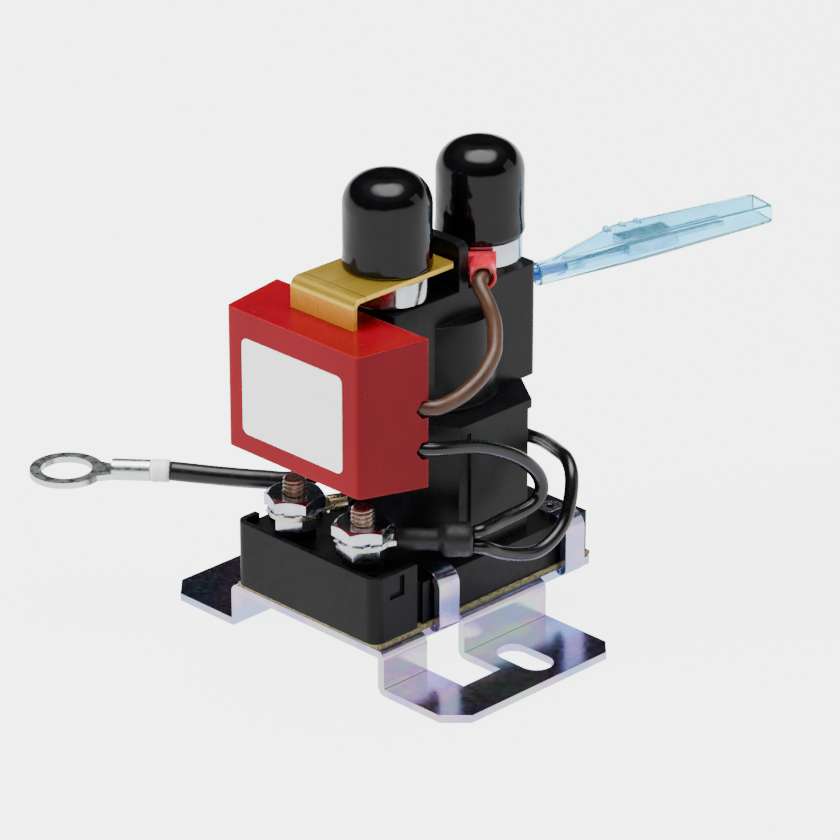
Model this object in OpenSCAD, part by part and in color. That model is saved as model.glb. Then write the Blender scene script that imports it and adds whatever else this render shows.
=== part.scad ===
// Battery isolator relay: a plunger relay under a potted sensing module, on a sheet bracket.
// The origin lies on the underside of the bracket, midway between its two mounting slots.
// +X runs to the viewer's right, +Y to the back, +Z up. The module and coil studs face -Y.

/* [Bracket] */
// Distance from the middle of each slot to the side edge of its flange
slot_margin = 8.1; // [7:0.1:12]
// Thickness of the bracket sheet
sheet_t = 1.3; // [1:0.1:1.6]
// Width over the outside of the saddle legs
saddle_w = 35.6; // [35.2:0.1:36]
// Height of the saddle top above the mounting surface
saddle_h = 7.7; // [6:0.1:12]
// Length of the saddle top, front to back
saddle_l = 49; // [48:0.5:52]
// Length of the flanges and legs, front to back
flange_l = 37.3; // [34:0.1:40]
// Cut across each front corner of the flanges
flange_front_cut = 3.6; // [1:0.1:5]
// Cut across each rear corner of the flanges
flange_rear_cut = 2.7; // [1:0.1:5]
// Distance between the centres of the two slots
slot_spacing = 51.8; // [50:0.1:54]
// Width of each slot
slot_w = 5.6; // [4:0.1:6.5]
// Overall length of each slot, along the width of the bracket
slot_l = 10.6; // [8:0.1:11.5]
// Distance of the slots from the front edge
slot_set_back = 24; // [22:0.1:28]
// Inside radius of the bends
bend_r = 0.2; // [0.1:0.1:0.6]

/* [Clips] */
// Width of each clip tongue
clip_w = 4.4; // [3:0.1:5]
// Distance of the front clips from the front edge
clip_front_set_back = 14.9; // [14:0.1:15.5]
// Distance of the rear clips from the front edge
clip_rear_set_back = 44.2; // [43:0.1:45.5]
// Reach of each clip hook over the base, from the outer face
clip_hook = 3.9; // [3.6:0.1:4.4]
// Inside radius of the clip hook
clip_r = 1.6; // [1.2:0.1:2]
// Width of the notch that frees a front clip
notch_w = 8.4; // [6:0.1:9]
// Distance of the notch middle from the front edge
notch_set_back = 14; // [13.5:0.1:15]
// Distance of the notch end from the middle plane
notch_reach = 26; // [20:0.1:28]

/* [Base] */
// Thickness of the insulating board
board_t = 0.7; // [0.4:0.1:1.2]
// Width of the insulating board
board_w = 32.4; // [31.8:0.1:32.6]
// Length of the insulating board
board_l = 49.3; // [48.8:0.1:49.6]
// Distance of the board from the front edge of the bracket
board_set_back = 0.1; // [0:0.1:0.4]
// Width of the base behind its terminal block
base_w = 31.6; // [31.4:0.1:32]
// Length of the base
base_l = 49.45; // [48.9:0.05:49.6]
// Overhang of the base in front of the bracket
base_over = 0.4; // [0:0.1:0.6]
// Height of the rear part of the base
base_h = 7.3; // [6.5:0.1:9]
// Extra height of the terminal block at the front
block_rise = 4.1; // [3.6:0.1:4.5]
// Length of the terminal block
block_l = 9.4; // [9:0.1:9.6]
// Width of the terminal block
block_w = 32.6; // [32:0.1:33]
// Radius of the block's front corners
base_r = 2; // [1.5:0.1:3]
// Depth of the tray in the block's top
tray_depth = 1.5; // [1:0.1:1.8]
// Thickness of the rim round the tray
rim_t = 1; // [0.8:0.1:1.2]
// Radius of the boss under each coil nut
boss_r = 3.4; // [3:0.1:3.7]
// Radius of the hollow rivets' shank
rivet_r = 1.2; // [0.9:0.1:1.5]
// Distance of each hollow rivet from the middle plane
rivet_x = 11; // [10:0.1:11.5]
// Distance of the hollow rivets from the rear edge of the base
rivet_inset = 3.75; // [3.3:0.05:4]

/* [Coil terminals] */
// Distance between the two coil studs
coil_spacing = 15.8; // [15:0.1:16.5]
// Distance of the coil studs from the front face of the base
coil_inset = 5.6; // [5.3:0.1:5.8]
// Diameter of the coil studs
coil_stud_d = 4; // [3.5:0.1:4.3]
// Width across the flats of the lower coil nuts
coil_nut_low_af = 7.6; // [7:0.1:8]
// Height of the lower coil nuts
coil_nut_low_h = 2.3; // [2:0.1:2.6]
// Width across the flats of the upper coil nuts
coil_nut_af = 8.8; // [8:0.1:9.2]
// Height of the upper coil nuts
coil_nut_h = 2.1; // [1.8:0.1:2.6]
// Length of coil stud that stands above its upper nut
coil_stud_over = 2.7; // [1:0.1:3.5]

/* [Relay body] */
// Distance of the relay axis from the front edge of the bracket
relay_set_back = 29.05; // [28.8:0.05:29.4]
// Half width of the octagonal coil housing's collar
collar_x = 14.1; // [13.9:0.1:14.5]
// Half length of the octagonal coil housing's collar
collar_y = 13.6; // [13.5:0.1:14]
// Corner cut of the collar, across the width
collar_cut_x = 7.7; // [6:0.1:8]
// Corner cut of the collar, along the length
collar_cut_y = 5.3; // [4.5:0.1:5.6]
// Height of the coil housing above the base
coil_housing_h = 23.3; // [23.1:0.1:26]
// Height of the collar rim
collar_h = 1.5; // [1:0.1:2.5]
// Step of the coil housing walls in from the collar
collar_step = 0.4; // [0.2:0.1:0.6]
// Radius of the coil housing's inner bore
coil_bore_r = 12; // [11.9:0.1:12.2]
// Thickness of the coil housing's top wall
coil_top_t = 2; // [1.5:0.1:2.5]
// Half width of the contact housing
contact_x = 7.25; // [7:0.05:7.6]
// Distance from each main stud to the nearer end of the contact housing
contact_end = 5.95; // [5.9:0.05:6.5]
// Height of the contact housing
contact_h = 19.6; // [19.4:0.1:22]
// Radius of the round swelling on the contact housing
bulge_r = 10.15; // [9.8:0.05:10.5]
// Height of the round swelling
bulge_h = 15; // [14:0.1:16]
// Wall of the contact housing
contact_wall = 1.7; // [1.4:0.1:2]
// Height of the divider between the main studs
divider_h = 8.1; // [6:0.1:10]
// Thickness of the divider
divider_t = 2; // [1.6:0.1:2.2]

/* [Main studs] */
// Distance between the two main studs
main_spacing = 20.9; // [20.5:0.1:21.5]
// Diameter of the main studs
main_stud_d = 6; // [5:0.1:6.4]
// Diameter of the round collar nuts
collar_nut_d = 13.8; // [13.4:0.1:14.2]
// Height of the round collar nuts
collar_nut_h = 4.5; // [4:0.1:5]
// Width across the flats of the main nuts
main_nut_af = 10; // [9:0.1:10.5]
// Height of the main nuts
main_nut_h = 5; // [4:0.1:5.5]
// Length of main stud that stands above its nut
main_stud_over = 2; // [1:0.1:3]
// Outside diameter of the insulating caps
cap_d = 14.7; // [14.5:0.1:15.3]
// Height of the insulating caps
cap_h = 15.6; // [15.3:0.1:18]
// Wall of the insulating caps
cap_wall = 1; // [0.8:0.05:1.1]

/* [Strap] */
// Width of the brass strap
strap_w = 14.3; // [13:0.1:15]
// Thickness of the brass strap
strap_t = 0.8; // [0.6:0.1:1]
// Reach of the strap behind the front main stud
strap_tail = 8.2; // [7.8:0.1:8.4]
// Outside radius of the strap bend
strap_bend = 1.6; // [1.2:0.1:2]
// Distance of the strap's down-turned face from the front edge of the bracket
strap_set_back = 4.1; // [3.7:0.1:4.3]

/* [Module] */
// Half width of the module's front face
module_front_x = 15.05; // [14.5:0.05:15.5]
// Half width of the module at its open back
module_back_x = 17.2; // [16.9:0.1:17.6]
// Depth of the module
module_d = 13.1; // [13:0.1:13.4]
// Overhang of the module in front of the bracket's front edge
module_over = 2.7; // [2.5:0.1:3.2]
// Height of the module's front face
module_h = 24.2; // [24:0.1:25]
// Height of the top of the module above the mounting surface
module_top = 58.8; // [58.6:0.1:59.2]
// Droop of the module's bottom face from front to back
module_drop = 1.3; // [0.5:0.1:1.6]
// Wall of the module case
module_wall = 1.5; // [1.2:0.1:1.8]
// Width of the blank label
label_w = 22.8; // [15:0.1:25]
// Height of the blank label
label_h = 16.6; // [10:0.1:18]
// Thickness of the blank label
label_t = 0.15; // [0.1:0.05:0.3]

/* [Movement] */
// Travel of the plunger
plunger_travel = 2.4; // [2.2:0.1:2.5]
// Travel of the contact bridge
bridge_travel = 2; // [1.8:0.1:2.1]

/* [Leads] */
// Diameter of the thin leads
lead_d = 2.3; // [2:0.1:2.4]
// Diameter of the brown sensing lead
sense_d = 2.5; // [2.2:0.1:2.6]
// Diameter of the sleeve on the earth lead
earth_sleeve_d = 3.2; // [2.8:0.1:3.4]
// Diameter of the hole in the earth ring terminal
earth_hole_d = 8.4; // [6:0.1:8.6]
// Diameter of the earth ring terminal
earth_ring_d = 12.2; // [11.8:0.1:14]
// Length of the trigger connector's sleeve
trigger_l = 44.5; // [42:0.5:48]
// Width of the sleeve at its shoulder
trigger_w = 7.6; // [7.2:0.1:8]
// Height of the sleeve at its shoulder
trigger_h = 4.4; // [4.2:0.1:4.8]
// Width of the sleeve at its mouth
trigger_end_w = 6.4; // [6:0.1:7]
// Height of the sleeve at its mouth
trigger_end_h = 3.4; // [3:0.1:4]

/* [Hidden] */
$fn = 48;

// Overrun of every cut past the face that it opens
over = 1;
// Play between a fixed piece and the hole or pocket that holds it
fit = 0.05;
// Play between a moving piece and what it slides in
run_gap = 0.3;
// Radius of a nut's flat top, as a share of its inscribed circle
nut_face_share = 0.96;
// Height of a boss above the block's rim
boss_over = 0.2;
// Sides of a cord, and of a spring's wire
cord_sides = 8;
wire_sides = 6;

// Stations along the length, and levels above the mounting surface
front_y = -slot_set_back;
bracket_w = slot_spacing + 2 * slot_margin;
clip_ys = [front_y + clip_front_set_back, front_y + clip_rear_set_back];
base_front = front_y - base_over;
base_back = base_front + base_l;
block_back = base_front + block_l;
coil_y = base_front + coil_inset;
relay_y = front_y + relay_set_back;
main_ys = [relay_y - main_spacing / 2, relay_y + main_spacing / 2];
contact_y = main_spacing / 2 + contact_end;
leg_x = saddle_w / 2;
base_z = saddle_h + board_t;
deck_z = base_z + base_h;
block_z = deck_z + block_rise;
tray_z = block_z - tray_depth;
boss_z = block_z + boss_over;
ledge_z = deck_z + coil_housing_h;
main_z = ledge_z + contact_h;

// Base details: rim on the left, upright side grooves, and the L-shaped slot of the terminal block
rim_return = 4.6;
rear_r = 0.3;
groove_w = 1.3;
groove_depth = 0.8;
groove_gap = 0.5;
ell_depth = 0.6;
ell_w = 1.15;
ell_foot = 3.3;
ell_h = 3.6;
ell_inset = 3.3;
ell_rise = 7.1;
clip_seat_gap = 0.25;

// Hollow rivets
rivet_head_share = 1.7;
rivet_bore_share = 0.7;
rivet_head_r = rivet_head_share * rivet_r;
rivet_head_t = 0.4;
rivet_bore_r = rivet_bore_share * rivet_r;

// Coil terminal stack
lug_t = 0.8;
lug_root_share = 0.8;
washer_t = 0.6;
tooth_count = 10;
tooth_w = 1.1;
tooth_l = 1.2;
coil_washer_r = 3.8;
coil_head_af = 7;
coil_head_h = 2.4;
coil_lug_z = boss_z + coil_nut_low_h;
coil_washer_z = coil_lug_z + lug_t;
coil_nut_z = coil_washer_z + washer_t;
coil_stud_top = coil_nut_z + coil_nut_h + coil_stud_over;
strip_t = 0.5;
strip_w = 4;
strip_r = 3.4;
strip_end_gap = 1;

// Turn of each coil nut about its stud: right and left, lower and upper
low_nut_turns = [53.5, 31.4];
up_nut_turns = [52.2, 36.6];

// Ring lug of the coil stud on the right, and its two-wire boot
coil_lug_turn = 45;
coil_lug_r = 4.5;
coil_barrel_r = 1.5;
coil_barrel_start = 5.5;
coil_barrel_end = 9.5;
boot_r = 1.95;
boot_start = 6.9;
boot_knot_start = 12.4;
boot_knot_r = 3;
boot_knot_cut = 0.6;
boot_end = 17.6;
drive_lug_turn = 65;
drive_barrel_end = 8.6;

// Inside of the relay
can_r = coil_bore_r - run_gap;
can_wall = 1.2;
can_floor = 1.4;
can_sink = 2.8;
can_z = deck_z - can_sink;
pole_plate_t = 1.8;
can_top = ledge_z - coil_top_t - fit - pole_plate_t;
bobbin_z = can_z + can_floor;
bobbin_r = can_r - can_wall - fit;
bobbin_flange_t = 1;
bobbin_bore_r = 4.4;
bobbin_hub_t = 0.8;
winding_gap = 0.6;
core_r = bobbin_bore_r - fit;
core_l = 7;
core_bore_r = 1.6;
core_z = can_top + pole_plate_t - core_l;
plunger_r = bobbin_bore_r - run_gap;
plunger_rest_gap = 0.2;
plunger_z = core_z - plunger_travel - plunger_rest_gap;
plunger_seat = 0.2;
strip_back = relay_y - can_r - strip_end_gap;
plunger_l = plunger_z - bobbin_z - plunger_seat;
spring_pocket_r = 3.3;
spring_pocket = 3;
return_wire = 0.5;
return_r = 2.6;
return_turns = 5;
rod_r = core_bore_r - run_gap;

// Contact chamber and moving contact
chamber_x = contact_x - contact_wall;
chamber_y = contact_y - contact_wall;
spigot_r = 9.5;
bulge_bore_r = bulge_r - contact_wall;
step_r = 10.5;
step_h = 0.6;
deck_t = 2;
contact_corner = 1.2;
flute_share = 0.5;
divider_corner = 1.4;
divider_shift = 0.55;
head_r = 4.2;
head_t = 2.2;
head_z = main_z - deck_t - head_t;
tip_t = 0.7;
tip_r = 2.6;
bridge_t = 1.8;
bridge_x = 3.6;
bridge_over = 2.55;
bridge_y = main_spacing / 2 + bridge_over;
bridge_round = 3.6;
bridge_z = head_z - bridge_travel - plunger_rest_gap - tip_t - bridge_t;
bush_flange_r = 3.2;
bush_flange_t = 0.6;
bush_r = 2.1;
clip_t = 0.5;
clip_ring_r = 2.3;
rod_over = 0.7;
seat_r = 3;
seat_t = 0.8;
contact_spring_l = 4.6;
contact_wire = 0.5;
contact_spring_r = 2.2;
contact_turns = 4;
seat_z = bridge_z - bush_flange_t - contact_spring_l - seat_t;
rod_top = bridge_z + bridge_t + bush_flange_t + clip_t + rod_over;

// Main terminal stack and caps
collar_cut = 0.4;
main_washer_r = 5;
main_washer_t = 1.2;
washer_slit = 0.8;
strap_z = main_z + collar_nut_h;
stack_z = strap_z + strap_t;
main_nut_z = stack_z + main_washer_t;
main_top = main_nut_z + main_nut_h + main_stud_over;
cap_round = 5.5;
cap_roof = 1.2;
cap_lip = 0.35;
cap_lip_h = 1.4;
strap_leg = 12;
strap_corner = 0.8;

// Ring lug, sleeve and angle of the sensing lead
sense_turn = -43;
sense_lug_r = 5;
sense_barrel_r = 1.65;
sense_barrel_start = 7.3;
sense_barrel_end = 10.8;
sense_rise = 2.3;
sense_sleeve_r = 2.15;
sense_sleeve_end = 13.2;
sense_hood_w = 4.6;
sense_hood_l = 1.5;

// Module
module_front = front_y - module_over;
module_back = module_front + module_d;
module_bottom = module_top - module_h;
module_x = 0.2;
module_edge_r = 0.8;
module_flare = (module_back_x - module_front_x) / module_d;
module_slope = module_drop / module_d;
potting_recess = 0.8;
wire_notch_d = 2.3;
wire_notch_w = 3;
notch_zs = [46.9, 39.8];
label_z = 46.1;
drive_hole = [-5.2, -15.4];
drive_hole_gap = 0.4;
label_r = 1.2;
pcb_t = 1.6;
pcb_x = 12.8;
pcb_margin = 2;
cap_can_r = 2.5;
cap_can_h = 2.4;
chip_l = 8;
chip_w = 5;
chip_h = 1.8;
device_w = 9;
device_l = 6.5;
device_h = 2;

// Earth ring terminal: place, direction of its barrel, and sizes
earth_at = [-43.7, -36.5, 24];
earth_turn = 41.3;
earth_t = 1;
earth_barrel_r = 1.8;
earth_barrel_start = 8.6;
earth_barrel_end = 13.9;
earth_band_r = 2;
earth_band_end = 17.1;
earth_root_share = 0.385;
sleeve_start_turn = -68;

// Trigger connector: place, direction and inner pieces
trigger_at = [3.98, 24.8, 54.5];
trigger_turn = 76;
trigger_pitch = 1.2;
trigger_lift = 1.55;
trigger_wall = 0.6;
trigger_tail_r = 1.95;
trigger_tail_l = 3;
trigger_shoulder = 17;
trigger_corner = 0.7;
trigger_crimp_r = 1.2;
trigger_crimp_lift = 0.35;
trigger_crimp_start = 5.2;
trigger_crimp_l = 3.4;
trigger_neck_lift = 0.6;
trigger_box_start = 16.4;
trigger_box_l = 9.6;
trigger_box_w = 5;
trigger_box_h = 2;
trigger_box_lift = 1.2;
trigger_blade_l = 10;
trigger_blade_w = 2.4;
trigger_blade_t = 0.7;
corner_steps = 5;
rib_count = 3;
rib_step = 3;
rib_start = 14.6;
rib_h = 0.4;
rib_l = 1;
rib_w = 1.6;

// Routes of the leads, in points chosen along the photographed runs
sense_route = [
    [8.8, 7.3, 60.9], [9.5, 6.3, 60.8], [10.3, 5, 60.2], [13, 4.2, 58.1], [15, 3.5, 55.8],
    [16.6, 2.1, 53.6], [17.8, 0.5, 51.9], [18.8, -2.8, 49.9], [19, -6, 48.4], [18.8, -9.3, 47.4],
    [18.2, -12.6, 47], [15.8, -14.3, 46.9]
];
module_earth_route = [
    [15.8, -14.4, 39.8], [18.2, -12, 39.7], [19.5, -5.2, 38.3], [20.5, 0, 36.1], [21.5, 4, 33.4],
    [22, 6.8, 30.1], [22, 7.4, 27], [21.5, 5.4, 25], [20.8, -0.2, 24.2], [21.2, -5.2, 24.2],
    [20.34, -6.36, 23.9]
];
earth_route = [
    [20.34, -6.36, 21.5], [21.5, -4.9, 21.1], [21.9, -1.9, 19.4], [22.4, 2.2, 17.8], [23, 5.9, 17.4],
    [23, 9.7, 18.6], [22.6, 12.7, 20.9], [21.9, 14.6, 24.4], [20.4, 16.2, 27], [17.8, 17.8, 28.1],
    [14.4, 19.5, 27.8], [8.3, 22.5, 26.6], [4, 23.5, 25.9], [-4, 23.6, 25.4], [-11, 21, 25],
    [-16.4, 15.6, 24.7], [-18.8, 7.6, 24.4], [-17.6, 0, 24.2]
];
earth_sleeve_route = [
    [-17.6, 0, 24.2], [-15.6, -4.8, 24], [-14, -9, 23.6], [-15.2, -12.9, 23.3], [-18.2, -15.5, 23.4],
    [-21, -17.8, 23.5], [-25, -20.9, 23.7], [-30.85, -25.21, 24]
];
trigger_route = [
    [-15.5, -14.4, 46.9], [-17.9, -12.6, 46.9], [-18.8, -7, 47.2], [-17.6, 1, 48], [-15.2, 10.4, 49.4],
    [-12, 18.5, 51], [-8.2, 23.1, 52.4], [-2, 22.9, 53.6], [1.6, 22.8, 54.4], [3.98, 24.8, 54.5],
    [5.17, 29.55, 54.5]
];
drive_route = [
    [-4.24, -10.95, 22.7], [-3.7, -9.8, 24.3], [-4.2, -11, 27], [-5, -13.5, 30.4], [-5.2, -15.4, 33],
    [-5.2, -15.4, 34.9]
];

// Shared forms

// Unit vector along v
function unit(v) = v / norm(v);

// Points of an arc about c, from angle a0 to a1
function arc(c, r, a0, a1, n = 6) = [for (i = [0:n])
    let (a = a0 + (a1 - a0) * i / n) c + r * [cos(a), sin(a)]];

// One point of a smooth curve through the route p, at share u of its span i
function span_point(p, i, u) =
    let (a = p[max(i - 1, 0)], b = p[i], c = p[i + 1], d = p[min(i + 2, len(p) - 1)],
         m0 = (c - a) / 2, m1 = (d - b) / 2, u2 = u * u, u3 = u2 * u)
    (2 * u3 - 3 * u2 + 1) * b + (u3 - 2 * u2 + u) * m0 + (3 * u2 - 2 * u3) * c + (u3 - u2) * m1;

// The route p with n steps in each span
function smooth(p, n = 2) = concat(
    [for (i = [0:len(p) - 2]) for (k = [0:n - 1]) span_point(p, i, k / n)], [p[len(p) - 1]]);

// Directions along a line of points
function headings(c) = [for (i = [0:len(c) - 1]) unit(c[min(i + 1, len(c) - 1)] - c[max(i - 1, 0)])];

// Side vectors carried along the headings t without twist
function carry(t, v, i = 0) =
    i == len(t) ? [] : let (w = unit(v - (v * t[i]) * t[i])) concat([w], carry(t, w, i + 1));

// The headings t with those of the two ends as given
function with_ends(t, first, last) =
    [for (i = [0:len(t) - 1])
        i == 0 && len(first) == 3 ? unit(first) :
        i == len(t) - 1 && len(last) == 3 ? unit(last) : t[i]];

// Level direction at angle a
function level(a) = [cos(a), sin(a), 0];

// A round cord along the points c; its end faces can be given a direction
module cord(c, r, sides = cord_sides, first = [], last = []) {
    t = with_ends(headings(c), first, last);
    side = carry(t, abs(t[0].z) > 0.9 ? [1, 0, 0] : [0, 0, 1]);
    n = len(c);
    rings = [for (i = [0:n - 1]) for (k = [0:sides - 1])
        c[i] + r * (cos(360 * k / sides) * side[i] + sin(360 * k / sides) * cross(t[i], side[i]))];
    walls = [for (i = [0:n - 2]) for (k = [0:sides - 1])
        let (a = i * sides + k, b = i * sides + (k + 1) % sides)
        each [[a, a + sides, b + sides], [a, b + sides, b]]];
    polyhedron(rings, concat(walls,
        [[for (k = [0:sides - 1]) k]], [[for (k = [sides - 1:-1:0]) (n - 1) * sides + k]]));
}

// A coil spring of the given mean radius, from z = 0 up to its length
module spring(mean_r, wire, length, turns) {
    steps = 8;
    rise = (length - wire) / turns;
    cord([for (i = [0:turns * steps])
        [mean_r * cos(360 * i / steps), mean_r * sin(360 * i / steps), wire / 2 + rise * i / steps]],
        wire / 2, wire_sides);
}

// Least gap between neighbouring curls of a spring
function curl_gap(wire, length, turns) = (length - wire) / turns - wire;
echo(return_spring_gap = curl_gap(return_wire, core_z - plunger_z + spring_pocket, return_turns));
echo(contact_spring_gap = curl_gap(contact_wire, contact_spring_l, contact_turns));

// A tube about Z
module tube(r, bore, h) {
    difference() {
        cylinder(r = r, h = h);
        translate([0, 0, -over]) cylinder(r = bore, h = h + 2 * over);
    }
}

// A flat rectangle with round corners, centred
module round_rect(w, l, r) {
    square([w - 2 * r, l], center = true);
    square([w, l - 2 * r], center = true);
    for (x = [-1, 1]) for (y = [-1, 1]) translate([x * (w / 2 - r), y * (l / 2 - r)]) circle(r);
}

// A hexagon nut with its upper corners turned away, bored through
module hex_nut(af, h, bore) {
    corner = af / sqrt(3);
    face_r = nut_face_share * af / 2;
    difference() {
        intersection() {
            cylinder(r = corner, h = h, $fn = 6);
            rotate_extrude() polygon([[0, 0], [corner + over, 0],
                [corner + over, h - (corner + over - face_r) * tan(30)], [face_r, h], [0, h]]);
        }
        translate([0, 0, -over]) cylinder(r = bore, h = h + 2 * over);
    }
}

// A ring lug on the plane z = 0, its barrel along +X at height rise
module ring_lug(r, hole, t, barrel_r, start, end, rise) {
    neck = 2 * barrel_r;
    difference() {
        union() {
            cylinder(r = r, h = t);
            linear_extrude(t) polygon([[0, -r * lug_root_share], [start, -neck / 2], [start + t, -neck / 2],
                [start + t, neck / 2], [start, neck / 2], [0, r * lug_root_share]]);
            translate([start, -neck / 2, 0]) cube([t, neck, rise]);
            translate([start, 0, rise]) rotate([0, 90, 0]) cylinder(r = barrel_r, h = end - start);
        }
        translate([0, 0, -over]) cylinder(r = hole, h = t + 2 * over);
    }
}

// Copies its children on the left as well
module both_sides() {
    children();
    mirror([1, 0, 0]) children();
}

// Bracket, board and base

// A quarter of a bent sheet about the origin, in the quadrant of signs sx, sz
module bend_2d(inner, t, sx, sz) {
    intersection() {
        difference() {
            circle(inner + t);
            if (inner > 0) circle(inner);
        }
        scale_to = inner + t;
        translate([sx > 0 ? 0 : -scale_to, sz > 0 ? 0 : -scale_to]) square(scale_to);
    }
}

// The right half of the hat section, seen from the front
module hat_half_2d() {
    square_top = leg_x - sheet_t - bend_r;
    translate([-fit, saddle_h - sheet_t]) square([square_top + fit, sheet_t]);
    translate([square_top, saddle_h - sheet_t - bend_r]) bend_2d(bend_r, sheet_t, 1, 1);
    translate([leg_x - sheet_t, sheet_t + bend_r]) square([sheet_t, saddle_h - 2 * sheet_t - 2 * bend_r]);
    translate([leg_x + bend_r, sheet_t + bend_r]) bend_2d(bend_r, sheet_t, -1, -1);
    translate([leg_x + bend_r, 0]) square([bracket_w / 2 - leg_x - bend_r, sheet_t]);
}

// One clip tongue, seen from the front: up the side of the base and over its edge
module clip_2d() {
    inner_x = leg_x - sheet_t;
    translate([inner_x - sheet_t, saddle_h - sheet_t]) square([sheet_t, sheet_t]);
    translate([inner_x, saddle_h]) bend_2d(0, sheet_t, 1, -1);
    translate([inner_x, saddle_h]) square([sheet_t, deck_z - clip_r - saddle_h]);
    translate([inner_x - clip_r, deck_z - clip_r]) bend_2d(clip_r, sheet_t, 1, 1);
    translate([leg_x - clip_hook, deck_z]) square([clip_hook - sheet_t - clip_r, sheet_t]);
}

// The plan of the whole bracket, which trims the hat section
module bracket_plan_2d() {
    w = bracket_w / 2;
    rear = front_y + flange_l;
    difference() {
        union() {
            polygon([[-w + flange_front_cut, front_y], [w - flange_front_cut, front_y],
                [w, front_y + flange_front_cut], [w, rear - flange_rear_cut], [w - flange_rear_cut, rear],
                [-w + flange_rear_cut, rear], [-w, rear - flange_rear_cut],
                [-w, front_y + flange_front_cut]]);
            translate([-leg_x + sheet_t, front_y]) square([saddle_w - 2 * sheet_t, saddle_l]);
        }
        for (x = [-1, 1]) {
            for (e = [-1, 1]) translate([x * slot_spacing / 2 + e * (slot_l - slot_w) / 2, 0])
                circle(d = slot_w);
            translate([x * slot_spacing / 2, 0]) square([slot_l - slot_w, slot_w], center = true);
            translate([x * (notch_reach + leg_x - sheet_t) / 2, front_y + notch_set_back])
                square([notch_reach - leg_x + sheet_t, notch_w], center = true);
        }
    }
}

module mounting_bracket() {
    color("lightsteelblue") difference() {
        union() {
            intersection() {
                both_sides() translate([0, front_y + saddle_l, 0]) rotate([90, 0, 0])
                    linear_extrude(saddle_l) hat_half_2d();
                translate([0, 0, -over]) linear_extrude(saddle_h + 2 * over) bracket_plan_2d();
            }
            both_sides() for (y = clip_ys) translate([0, y + clip_w / 2, 0]) rotate([90, 0, 0])
                linear_extrude(clip_w) clip_2d();
        }
        rivet_holes(saddle_h - sheet_t - over, sheet_t + 2 * over);
    }
}

// Holes for the hollow rivets, from level z up by h
module rivet_holes(z, h) {
    for (x = [-1, 1]) translate([x * rivet_x, base_back - rivet_inset, z])
        cylinder(r = rivet_r + fit, h = h);
}

module insulating_board() {
    color("olivedrab") difference() {
        translate([-board_w / 2, front_y + board_set_back, saddle_h]) cube([board_w, board_l, board_t]);
        rivet_holes(saddle_h - over, board_t + 2 * over);
    }
}

// Plan of the terminal block drawn in by wall, its front corners round
module block_2d(wall, back) {
    translate([0, block_back]) intersection() {
        round_rect(block_w - 2 * wall, 2 * (block_l - wall), base_r - wall);
        translate([-block_w / 2, -block_l]) square([block_w, block_l + back]);
    }
}

// Plan of the tray: closed in front and on the right, open behind and on the left
module tray_2d() {
    block_2d(rim_t, over);
    translate([-block_w / 2 - over, base_front + rim_return])
        square([block_w / 2, block_l - rim_return + over]);
}

// Plan of the body of the base behind the block
module body_2d() {
    overlap = base_r;
    l = base_l - block_l + overlap;
    translate([0, base_back - l / 2]) round_rect(base_w, l, rear_r);
}

// The L-shaped slot in the right side of the terminal block
module ell_slot() {
    translate([block_w / 2 - ell_depth, base_front + ell_inset, base_z + ell_rise]) {
        cube([ell_depth + over, ell_foot, ell_w]);
        translate([0, ell_foot - ell_w, 0]) cube([ell_depth + over, ell_w, ell_h]);
    }
}

module base_moulding() {
    color("dimgray") difference() {
        union() {
            translate([0, 0, base_z]) linear_extrude(base_h) body_2d();
            difference() {
                translate([0, 0, base_z]) linear_extrude(base_h + block_rise) block_2d(0, 0);
                translate([0, 0, tray_z]) linear_extrude(tray_depth + over) tray_2d();
            }
            both_sides() translate([coil_spacing / 2, coil_y, base_z])
                cylinder(r = boss_r, h = boss_z - base_z);
        }
        translate([0, relay_y, can_z]) cylinder(r = can_r + fit, h = can_sink + over);
        ell_slot();
        both_sides() {
            translate([coil_spacing / 2, coil_y, base_z - over]) {
                cylinder(d = coil_stud_d + 2 * fit, h = boss_z - base_z + 2 * over);
                cylinder(r = coil_head_af / sqrt(3) + fit, h = coil_head_h + strip_t + over, $fn = 6);
            }
            strip_solid(base_z - over, strip_t + coil_head_h + over, fit);
            translate([base_w / 2 - groove_depth, block_back + groove_gap, base_z - over])
                cube([groove_depth + over, groove_w, base_h + 2 * over]);
            for (y = clip_ys) translate([leg_x - sheet_t - clip_r - clip_seat_gap,
                y - clip_w / 2 - clip_seat_gap, deck_z - clip_r - clip_seat_gap])
                cube([clip_hook, clip_w + 2 * clip_seat_gap, clip_r + clip_seat_gap + over]);
        }
        rivet_holes(base_z - over, base_h + 2 * over);
    }
}

module base_rivets() {
    bottom = saddle_h - sheet_t - rivet_head_t;
    top = deck_z + rivet_head_t;
    color("silver") for (x = [-1, 1]) translate([x * rivet_x, base_back - rivet_inset, bottom])
        difference() {
        union() {
            cylinder(r = rivet_head_r, h = rivet_head_t);
            cylinder(r = rivet_r, h = top - bottom);
            translate([0, 0, top - bottom - rivet_head_t]) cylinder(r = rivet_head_r, h = rivet_head_t);
        }
        translate([0, 0, -over]) cylinder(r = rivet_bore_r, h = top - bottom + 2 * over);
    }
}

// Coil terminals

module coil_studs() {
    color("rosybrown") for (x = [-1, 1]) translate([x * coil_spacing / 2, coil_y, base_z + strip_t]) {
        cylinder(r = coil_head_af / sqrt(3), h = coil_head_h, $fn = 6);
        cylinder(d = coil_stud_d, h = coil_stud_top - base_z - strip_t);
    }
}

// A terminal strip under the base, from the right coil stud to the coil
module strip_solid(z, h, grow) {
    translate([0, 0, z]) linear_extrude(h) {
        translate([coil_spacing / 2, coil_y]) circle(strip_r + grow);
        translate([coil_spacing / 2 - strip_w / 2 - grow, coil_y])
            square([strip_w + 2 * grow, strip_back - coil_y + grow]);
    }
}

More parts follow.
